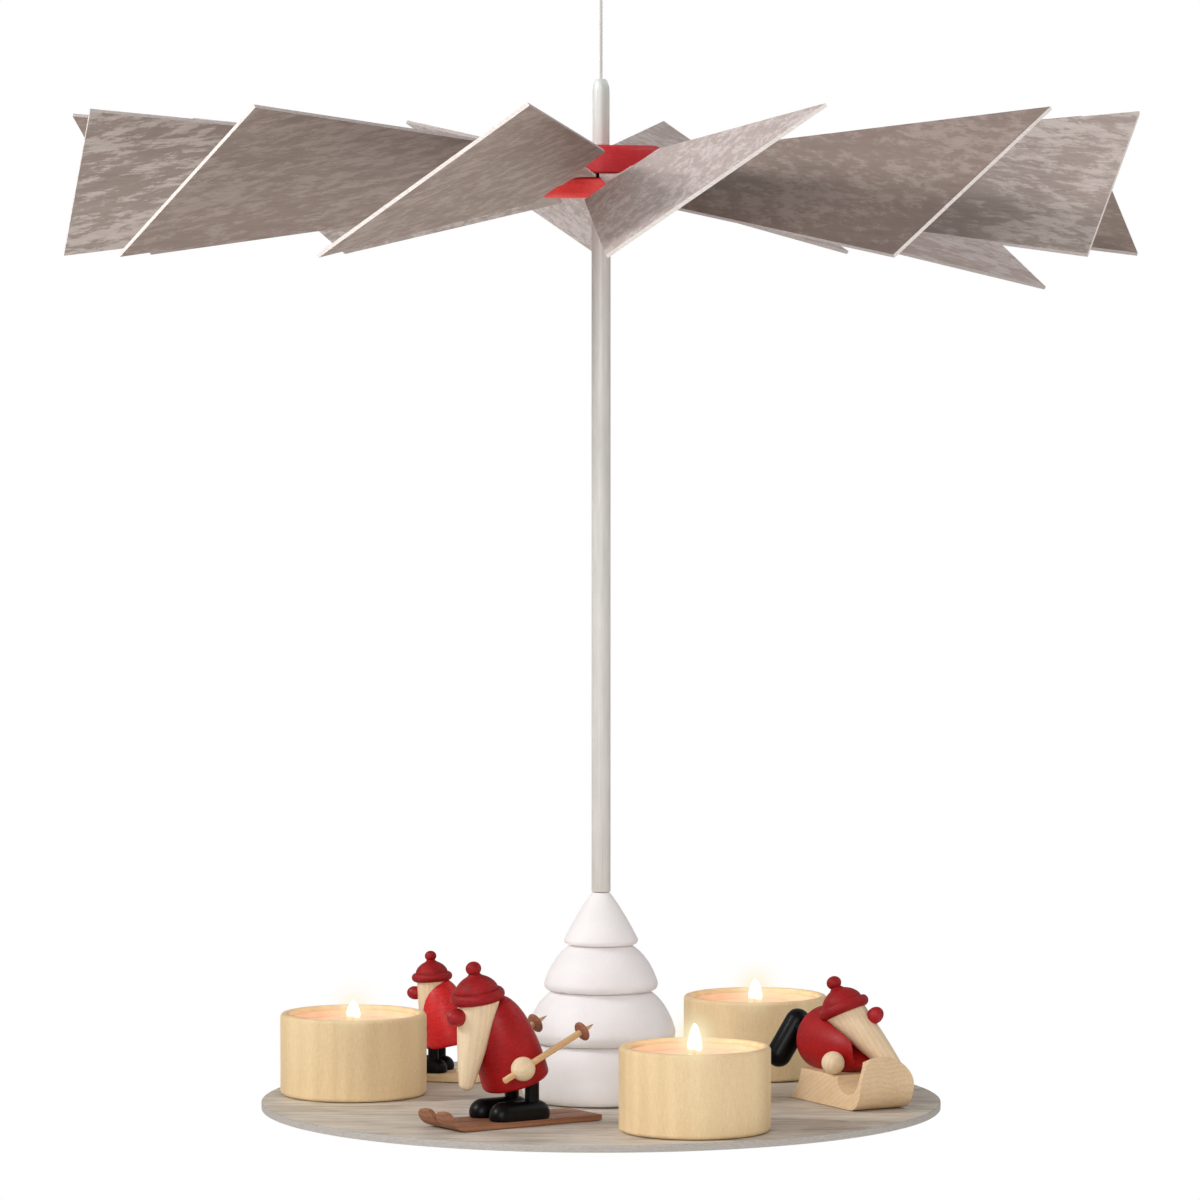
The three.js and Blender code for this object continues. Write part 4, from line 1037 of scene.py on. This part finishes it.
# Tree
def tree():
    bore, top_radius = TENON_DIAMETER / 2 + SEAT, LOWER_ROD_DIAMETER / 2
    tiers = zip(TIER_HEIGHTS, TIER_RADII, TIER_FOOT_INSETS, TIER_BELLY_HEIGHTS, TIER_BULGES)
    for number, (height, radius, inset, belly_height, bulge) in enumerate(tiers, 1):
        node = f"tree_tier_{number}"
        foot = low(node).z
        belly, top = (radius, foot + belly_height), (top_radius, foot + height)
        corner = (radius, top[1])
        halfway = [(belly[k] + top[k]) / 2 for k in (0, 1)]
        control = tuple(halfway[k] + (corner[k] - halfway[k]) * bulge for k in (0, 1))
        profile = [(bore, foot), *bow((radius - inset, foot), (radius, foot), belly, 14)]
        profile += bow(belly, control, (top_radius, top[1] - TIER_GROOVE), 24)[1:]
        profile += [(top_radius - TIER_GROOVE, top[1]), (bore, top[1])]
        tier = turned(f"{node}_turned", profile, FINE, ring=True)
        dressed(tier, TREE_WHITE, nodes=[node])
        top_radius = radius - inset


# Plate and screw
def plate():
    radius, foot = PLATE_DIAMETER / 2, PLATE_TOP - PLATE_THICKNESS
    hole, sink = SCREW_DIAMETER / 2 + SEAT, SCREW_HEAD_DIAMETER / 2 + SEAT
    outline = [(sink, foot), (radius, foot), (radius, PLATE_TOP), (hole, PLATE_TOP)]
    outline.append((hole, foot + sink - hole))
    obj = turned("plate_sheet", eased(outline, PLATE_EDGE), 2 * FINE, ring=True)
    dressed(obj, PLATE_GREY, nodes=["plate"])
    inside = (radius - PLATE_EDGE) * MM
    edged(obj, PLATE_PLY, [face.index for face in obj.data.polygons if face.center.xy.length > inside])


def plate_screw():
    shank, head = SCREW_DIAMETER / 2, SCREW_HEAD_DIAMETER / 2
    foot, top = PLATE_TOP - PLATE_THICKNESS, high("plate_screw").z
    profile = [(0, foot), (head, foot), (shank, foot + head - shank), (shank, top - shank), (0, top)]
    screw = turned("screw", eased(profile, SCREW_EDGE), COARSE)
    half = SCREW_SLOT / 2
    arm = [(SCREW_SLOT_REACH, -half), (SCREW_SLOT_REACH, half), (half, half)]
    cross = []
    for _ in range(4):
        cross += arm
        arm = [(-y, x) for x, y in arm]
    slots = drawn("slots", cross, 2 * SCREW_SLOT_DEPTH, at(0, 0, foot) @ turn(QUARTER, "X"))
    dressed(combined(screw, "DIFFERENCE", slots), STEEL, nodes=["plate_screw"])


# Candle holders and tea lights
HOLDER_BORE_RADIUS = HOLDER_DIAMETER / 2 - HOLDER_RIM_WALL
HOLDER_FLOOR = HOLDER_HEIGHT - HOLDER_LIP - CUP_HEIGHT
CUP_RADIUS = HOLDER_BORE_RADIUS - CUP_PLAY
CUP_FOOT = HOLDER_FLOOR + SEAT
WAX_TOP = CUP_FOOT + CUP_WALL + SEAT + WAX_DEPTH


def holder(number, place):
    radius, top, rim = HOLDER_DIAMETER / 2, SEAT + HOLDER_HEIGHT, HOLDER_RIM_RADIUS
    foot = [(0, SEAT), (radius - HOLDER_FOOT_CHAMFER, SEAT), (radius, SEAT + HOLDER_FOOT_CHAMFER)]
    profile = eased([*foot, (radius, top / 2)], HOLDER_FOOT_ROUND)[:-1]
    profile += arc((radius - rim, top - rim), rim, 0, 90, 10)
    profile += arc((HOLDER_BORE_RADIUS + rim, top - rim), rim, 90, 180, 10)
    profile += [(HOLDER_BORE_RADIUS, HOLDER_FLOOR), (0, HOLDER_FLOOR)]
    grain = turn(HOLDER_GRAIN_TURN_DEG * number, "Z")
    obj = turned(f"holder_{number}", profile, 2 * MEDIUM, place @ grain)
    dressed(obj, HOLDER_WOOD, nodes=[f"candle_holder_{number}"])


def tea_light(number, place):
    """Loose tea light: cup, wax with a pool round its wick, the wick and its flame."""
    body = f"tea_light_{number}"
    inner, floor_height, lip = CUP_RADIUS - CUP_WALL, CUP_FOOT + CUP_WALL, CUP_FOOT + CUP_HEIGHT
    outline = [(0, CUP_FOOT), (CUP_RADIUS, CUP_FOOT), (CUP_RADIUS, lip), (inner, lip)]
    outline += [(inner, floor_height), (0, floor_height)]
    cup = turned(f"{body}_shell", eased(outline, CUP_EDGE), FINE, place)
    dressed(cup, CUP, body, [f"tea_light_cup_{number}"])
    radius, foot, pool = inner - SEAT, floor_height + SEAT, WAX_TOP - WAX_DISH
    wick = WICK_DIAMETER / 2
    surface = bow((radius - WAX_EDGE, WAX_TOP), (radius - WAX_RISE, pool), (radius / 2, pool), 10)
    surface += bow((3 * wick, pool), (1.2 * wick, pool), (wick, pool + WAX_COLLAR), 5)
    profile = [(0, foot), (radius, foot), (radius, WAX_TOP - WAX_EDGE), *surface, (0, pool + WAX_COLLAR)]
    wax = turned(f"{body}_wax", profile, FINE, place)
    dressed(wax, WAX, body, [f"candle_{number}"])
    top = WAX_TOP + WICK_LENGTH
    pitch = (top - pool) / WICK_ROUNDS
    braid = [(0, pool)]
    for i in range(WICK_ROUNDS):
        height = pool + pitch * i
        braid += [(wick * WICK_WAIST, height), (wick, height + pitch / 2)]
    braid += [(wick / 2, top), (0, top)]
    thread = turned(f"{body}_wick", braid, WICK_SIDES, place, sharp=FLAME_SHARP_DEG)
    dressed(thread, WICK, body, [f"candle_{number}"])
    flame(number, body, place @ at(0, 0, WAX_TOP + FLAME_FOOT))


def flame(number, body, place):
    """An arch of flame with a round foot, and the light it gives."""
    height = FLAME_HEIGHTS[number - 1]
    taper, fullness = FLAME_ARCH
    steps = 24
    arch = [(0, 0), (FLAME_WIDTH / 4, 0)]
    for i in range(1, steps):
        share = i / steps
        arch.append((FLAME_WIDTH / 2 * (1 - share ** taper) ** fullness, height * share))
    arch.append((0, height))
    dressed(turned(f"{body}_flame", arch, COARSE, place, sharp=FLAME_SHARP_DEG), FLAME_GLOW, body)
    data = bpy.data.lights.new(f"candle_light_{number}", "POINT")
    data.energy = FLAME_LIGHT
    data.color = FLAME_LIGHT_COLOUR
    data.shadow_soft_size = FLAME_WIDTH / 2 * MM
    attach(placed(f"candle_light_{number}", data, place @ at(0, 0, height)), body)


def candle_holders():
    for number in range(1, HOLDER_COUNT + 1):
        centre = middle(f"candle_holder_{number}")
        place = at(centre.x, centre.y, PLATE_TOP)
        holder(number, place)
        tea_light(number, place)


# Figures
def hat_profile(size):
    roll = HAT_BRIM_ROLL * size
    dome = HAT_DOME_RADIUS * size
    dome_foot, dome_top = HAT_DOME_SEAT * roll, HAT_DOME_HEIGHT * size
    bobble = BOBBLE_RADIUS * size
    steps = 16
    profile = [(0, 0), *arc((HAT_RADIUS * size - roll, roll), roll, -90, HAT_BRIM_END_DEG, 14)]
    for i in range(steps):
        angle = math.radians(HAT_DOME_END_DEG * i / steps)
        rise = (dome_top - dome_foot) * math.sin(angle)
        profile.append((dome * math.cos(angle) ** HAT_DOME_TAPER, dome_foot + rise))
    centre = (0, dome_top + BOBBLE_LIFT * bobble)
    knob = arc(centre, bobble, BOBBLE_START_DEG, 90, 14, BOBBLE_SQUASH)
    knob[-1] = (0, knob[-1][1])
    return profile + knob


def beard_radius(share):
    return BEARD_RADIUS * (1 - BEARD_TAPER * share - BEARD_CURVE * share * share)


def beard_profile(size, gap=0.0):
    length = BEARD_LENGTH * size
    tip = beard_radius(1) * size
    spare = BEARD_RADIUS * size / 2
    steps = 20
    straight = 1 - tip / length
    end = beard_radius(straight) * size + gap
    foot, full = -length - gap, BEARD_TIP_FULLNESS * end
    profile = bow((0, foot), (full, foot), (end, -straight * length), 10)
    for i in range(steps - 1, -1, -1):
        share = straight * i / steps
        profile.append((beard_radius(share) * size + gap, -share * length))
    return [*profile, (BEARD_RADIUS * size + gap, spare), (0, spare)]


def coat_profile(size):
    radius, top, hem = COAT_RADIUS * size, COAT_LENGTH * size, COAT_HEM_ROUND * size
    steps = 30
    profile = [(0, 0), *arc((radius - hem, hem), hem, -90, 0, 8)]
    for i in range(1, steps):
        angle = math.radians(QUARTER * i / steps)
        profile.append((radius * math.cos(angle) ** COAT_FULLNESS, hem + (top - hem) * math.sin(angle)))
    return [*profile, (0, top)]


def boot_height(size):
    return BOOT_WIDTH / 2 * size * (1 + BOOT_CUT)


def boot(node, size, leg_top, place):
    """A boot with its flat sole at height 0 and the leg that rises from it."""
    radius = BOOT_WIDTH / 2 * size
    barrel = (BOOT_LENGTH - BOOT_WIDTH) * size / 2
    mesh = bmesh.new()
    profile = arc((0, -barrel), radius, -90, 0, 12) + arc((0, barrel), radius, 0, 90, 12)
    profile[0], profile[-1] = (0, -barrel - radius), (0, barrel + radius)
    spin(mesh, profile, MEDIUM, at(0, 0, BOOT_CUT * radius) @ turn(QUARTER, "Y"))
    for vert in mesh.verts:
        vert.co.z = max(vert.co.z, 0)
    leg = LEG_DIAMETER / 2 * size
    shin = [(0, BOOT_CUT * radius), (leg, BOOT_CUT * radius), (leg, leg_top), (0, leg_top)]
    spin(mesh, shin, COARSE, at(-LEG_SET_BACK * size, 0, 0))
    dressed(made(f"{node}_turned", mesh, place), BOOT_BLACK, nodes=[node])


def grooves(size, neck, head_turn, lean):
    """Tools of the beard's shape, swung from where the head is turned back to the front."""
    tools = []
    for step in range(SWING_STEPS + 1 if head_turn else 1):
        swung = head_turn * (1 - step / SWING_STEPS)
        place = neck @ turn(swung, "Z") @ turn(lean, "Y")
        tools.append(turned("groove", beard_profile(size, SEAT), FINE, place))
    return tools


def nose(name, size, beard_place, drop, slimness):
    reach = (beard_radius(drop / BEARD_LENGTH) + NOSE_RADIUS / 2) * size
    place = beard_place @ at(reach, 0, -drop * size) @ turn(QUARTER, "Y")
    egg = ball_profile(NOSE_RADIUS * slimness * size, NOSE_STRETCH)
    obj = turned(f"{name}_nose_egg", egg, COARSE, place)
    dressed(obj, NOSE_RED, nodes=[f"{name}_nose"])


def upper_body(name, size, ground, pose, leans, coat_stain=COAT_RED):
    """Hat, head with beard, nose and coat; the coat is grooved where the beard and hat seat in it."""
    neck = ground @ at(pose["head"][0], 0, pose["head"][1])
    head_turn = pose.get("turn", 0)
    face = neck @ turn(head_turn, "Z")
    beard_place, hat_place = face @ turn(leans["beard"], "Y"), face @ turn(leans["hat"], "Y")
    coat_place = ground @ at(pose["hem"][0], 0, pose["hem"][1]) @ turn(leans["coat"], "Y")
    coat = turned(f"{name}_coat_turned", coat_profile(size), FINE, coat_place)
    room = [(r + SEAT if r > TINY else 0, z) for r, z in hat_profile(size)]
    tools = [turned("room", room, FINE, hat_place), *grooves(size, neck, head_turn, leans["beard"])]
    dressed(combined(coat, "DIFFERENCE", *tools), coat_stain, nodes=[f"{name}_coat"])
    hat = turned(f"{name}_hat_turned", hat_profile(size), FINE, hat_place, sharp=HAT_SHARP_DEG)
    dressed(hat, HAT_RED, nodes=[f"{name}_hat"])
    beard = turned(f"{name}_beard_turned", beard_profile(size), FINE, beard_place)
    brim = HAT_RADIUS * size
    above = turned("above", [(0, SEAT), (brim, SEAT), (brim, brim), (0, brim)], COARSE, hat_place)
    combined(beard, "DIFFERENCE", above)
    dressed(beard, BEARD_WOOD, nodes=[f"{name}_head_beard"])
    nose(name, size, beard_place, *pose.get("nose", (NOSE_DROP, NOSE_SLIMNESS)))


def figure_ground(place):
    x, y, heading = place
    return at(x, y, PLATE_TOP + SEAT) @ turn(heading, "Z")


def standing(name, size, ground, floor_height, stance, leans, coat_stain=COAT_RED):
    """A figure that stands in its boots; gives the height of its coat's hem."""
    hem_forward, head_reach, head_sink = stance
    hem = (hem_forward * size, floor_height + boot_height(size) + LEG_SHOW * size)
    rise = COAT_LENGTH * math.cos(math.radians(leans["coat"])) - head_sink
    head = (hem[0] + (COAT_RADIUS + head_reach) * size, hem[1] + rise * size)
    upper_body(name, size, ground, {"hem": hem, "head": head}, leans, coat_stain)
    leg_top = boot_height(size) + LEG_SHOW * size + COAT_RADIUS * size / 2
    for side, sign in SIDES.items():
        place = ground @ at(LEG_SET_BACK * size, sign * LEG_SPREAD / 2 * size, floor_height)
        boot(f"{name}_boot_{side}", size, leg_top, place)
    return hem[1]


def curled(name, outline, width, tip, corner, reach, place):
    """A bent board: its side view drawn out, cut to a front view with round upper corners."""
    half, crown = width / 2, tip + SEAT - corner
    front = [(-half, -SEAT), (half, -SEAT), *arc((half - corner, crown), corner, 0, 90, 14)]
    front += arc((corner - half, crown), corner, 90, 180, 14)
    body = drawn(name, outline, width + 2 * SEAT, place)
    cut = drawn("front_view", front, reach, place @ turn(QUARTER, "Z"))
    return softened(combined(body, "INTERSECT", cut))


# Skier
def ski(side, place):
    flat_end = SKI_LENGTH - SKI_REAR - SKI_CURL_RADIUS * math.sin(math.radians(SKI_CURL_DEG))
    centre = (flat_end, SKI_CURL_RADIUS)
    inner, tip_angle = SKI_CURL_RADIUS - SKI_THICKNESS, SKI_CURL_DEG - 90
    outline = [(-SKI_REAR, 0), *arc(centre, SKI_CURL_RADIUS, -90, tip_angle, 16)]
    outline += [*arc(centre, inner, tip_angle, -90, 16), (-SKI_REAR, SKI_THICKNESS)]
    tip = SKI_CURL_RADIUS - inner * math.cos(math.radians(SKI_CURL_DEG))
    node = f"ski_{side}"
    obj = curled(f"{node}_bent", outline, SKI_WIDTH, tip, SKI_TIP_ROUND, 3 * SKI_LENGTH, place)
    dressed(obj, SKI_WOOD, nodes=[node])


def pole(side, size, place):
    """A stick with its hand and its basket."""
    node = f"skier_pole_{side}"
    shaft, hand, half = POLE_DIAMETER / 2, HAND_RADIUS * size, POLE_BASKET_THICKNESS / 2
    bore, spike = shaft * POLE_FIT, POLE_BASKET_AT + half
    outline = [(0, -POLE_FRONT), (shaft, -POLE_FRONT), (shaft, spike), (0, spike + POLE_TIP_LENGTH)]
    stick = turned(f"{node}_stick", eased(outline, POLE_EDGE), COARSE, place)
    dressed(stick, POLE_WOOD, nodes=[node])
    grip = math.degrees(math.acos(shaft / hand))
    end = hand * math.sin(math.radians(grip))
    outline = [(bore, -end), *arc((0, 0), hand, -grip, grip, 24), (bore, end)]
    ball = turned(f"{node}_hand", outline, MEDIUM, place, ring=True)
    dressed(ball, BEARD_WOOD, nodes=[node])
    roll, roll_end = half * POLE_BASKET_ROLL, POLE_BASKET_ROLL_DEG
    rim = arc((POLE_BASKET_DIAMETER / 2 - roll, POLE_BASKET_AT), roll, -roll_end, roll_end, 12)
    outline = [(bore, POLE_BASKET_AT - half), *rim, (bore, spike)]
    basket = turned(f"{node}_basket", outline, MEDIUM, place, ring=True)
    dressed(basket, BASKET_WOOD, nodes=[node])


def skier():
    size, ground = SKIER_SIZE, figure_ground(SKIER_PLACE)
    hem = standing("skier", size, ground, SKI_THICKNESS + SEAT, SKIER_STANCE, SKIER_LEANS)
    rise = hem + SKIER_HAND_RISE * size
    out = (COAT_RADIUS + HAND_RADIUS - SKIER_HAND_BED) * size
    for side, sign in SIDES.items():
        hand = ground @ at(SKIER_HAND_FORWARD * size, sign * out, rise)
        pole(side, size, hand @ turn(POLE_RISE_DEG - QUARTER, "Y"))
        ski(side, ground @ at(0, sign * (SKI_WIDTH + SKI_GAP) / 2, 0))


# Sledder
def sled(ground):
    rear = -(SLED_FLAT_LENGTH + SLED_CURL_REACH) / 2
    flat_end = rear + SLED_FLAT_LENGTH
    lip = math.radians(SLED_CURL_DEG)
    lip_height = SLED_CURL_RISE * (1 + math.sin(lip))
    notch_x = flat_end + SLED_CURL_REACH - SLED_CURL_FRONT_THICKNESS - SLED_NOTCH_REACH
    notch_top = lip_height - SLED_CURL_LIP_THICKNESS * math.sin(lip)
    notch_rise = (notch_top - SLED_CURL_FOOT_THICKNESS) / (1 + math.sin(lip))
    notch_z = SLED_CURL_FOOT_THICKNESS + notch_rise
    seat_share = min(max((SLED_SEAT_HEIGHT - notch_z) / notch_rise, -1), 1)
    seat_end = -180 - math.degrees(math.asin(seat_share))
    seat_rear = rear + SLED_REAR_RAKE
    outline = [(rear, 0)]
    curl, notch = SLED_CURL_RISE / SLED_CURL_REACH, notch_rise / SLED_NOTCH_REACH
    outline += arc((flat_end, SLED_CURL_RISE), SLED_CURL_REACH, -90, SLED_CURL_DEG, 24, curl)
    outline += arc((notch_x, notch_z), SLED_NOTCH_REACH, SLED_CURL_DEG, seat_end, 24, notch)
    outline += bow((seat_rear, SLED_SEAT_HEIGHT), (seat_rear, SLED_SEAT_HEIGHT / 3), (rear, 0), 12)[:-1]
    reach = 3 * SLED_FLAT_LENGTH
    obj = curled("sled_sawn", outline, SLED_WIDTH, lip_height, SLED_LIP_ROUND, reach, ground)
    dressed(obj, SLED_WOOD, nodes=["sled"])


def sledder():
    size, ground = SLEDDER_SIZE, figure_ground(SLED_PLACE)
    hem = (-SLEDDER_HEM_BACK, SLED_SEAT_HEIGHT + COAT_RADIUS * size - SLEDDER_BED)
    head = (hem[0] + SLEDDER_HEAD_AHEAD * size, hem[1] + SLEDDER_HEAD_RISE * size)
    nose_shape = (SLEDDER_NOSE_DROP, SLEDDER_NOSE_SLIMNESS)
    pose = {"hem": hem, "head": head, "turn": SLEDDER_HEAD_TURN_DEG, "nose": nose_shape}
    upper_body("sledder", size, ground, pose, SLEDDER_LEANS)
    sled(ground)
    leg_top = boot_height(size) + (SLEDDER_LEG_SHOW + COAT_RADIUS / 2) * size
    sole_back = hem[0] - boot_height(size) - SLEDDER_LEG_SHOW * size
    hand_height = SLED_SEAT_HEIGHT + HAND_RADIUS * size + SEAT
    lean = turn(-SLEDDER_BOOT_SWING_DEG, "X") @ turn(SLEDDER_BOOT_LEAN_DEG, "Y")
    for side, sign in SIDES.items():
        across = sign * SLEDDER_LEG_SPREAD / 2 * size
        place = ground @ at(sole_back, across, hem[1] - SLEDDER_BOOT_DROP) @ lean
        boot(f"sledder_boot_{side}", size, leg_top, place)
        node = f"sledder_hand_{side}"
        place = ground @ at(SLEDDER_HANDS_FORWARD[side], sign * SLED_WIDTH / 2, hand_height)
        hand = turned(f"{node}_ball", ball_profile(HAND_RADIUS * size), MEDIUM, place)
        dressed(hand, BEARD_WOOD, nodes=[node])


# Figure on a board
def rider():
    size, ground = RIDER_SIZE, figure_ground(RIDER_PLACE)
    # The rider's coat takes the lighter copy of the coat stain, painted candle light
    standing("rider", size, ground, BOARD_THICKNESS + SEAT, RIDER_STANCE, RIDER_LEANS, RIDER_CANDLELIT_RED)
    straight, radius = (BOARD_LENGTH - BOARD_WIDTH) / 2, BOARD_WIDTH / 2
    outline = arc((straight, 0), radius, -90, 90, 24) + arc((-straight, 0), radius, 90, 270, 24)
    lying = ground @ at(0, 0, BOARD_THICKNESS / 2) @ turn(-QUARTER, "X")
    board = softened(drawn("board_sawn", outline, BOARD_THICKNESS, lying))
    dressed(board, BOARD_WOOD, nodes=["rider_board"])


camera()
suspension()
studio()
candle_glow()
floor()
rods()
hub()
for number in range(BLADE_COUNT):
    blade(number)
tree()
plate()
plate_screw()
candle_holders()
skier()
sledder()
rider()
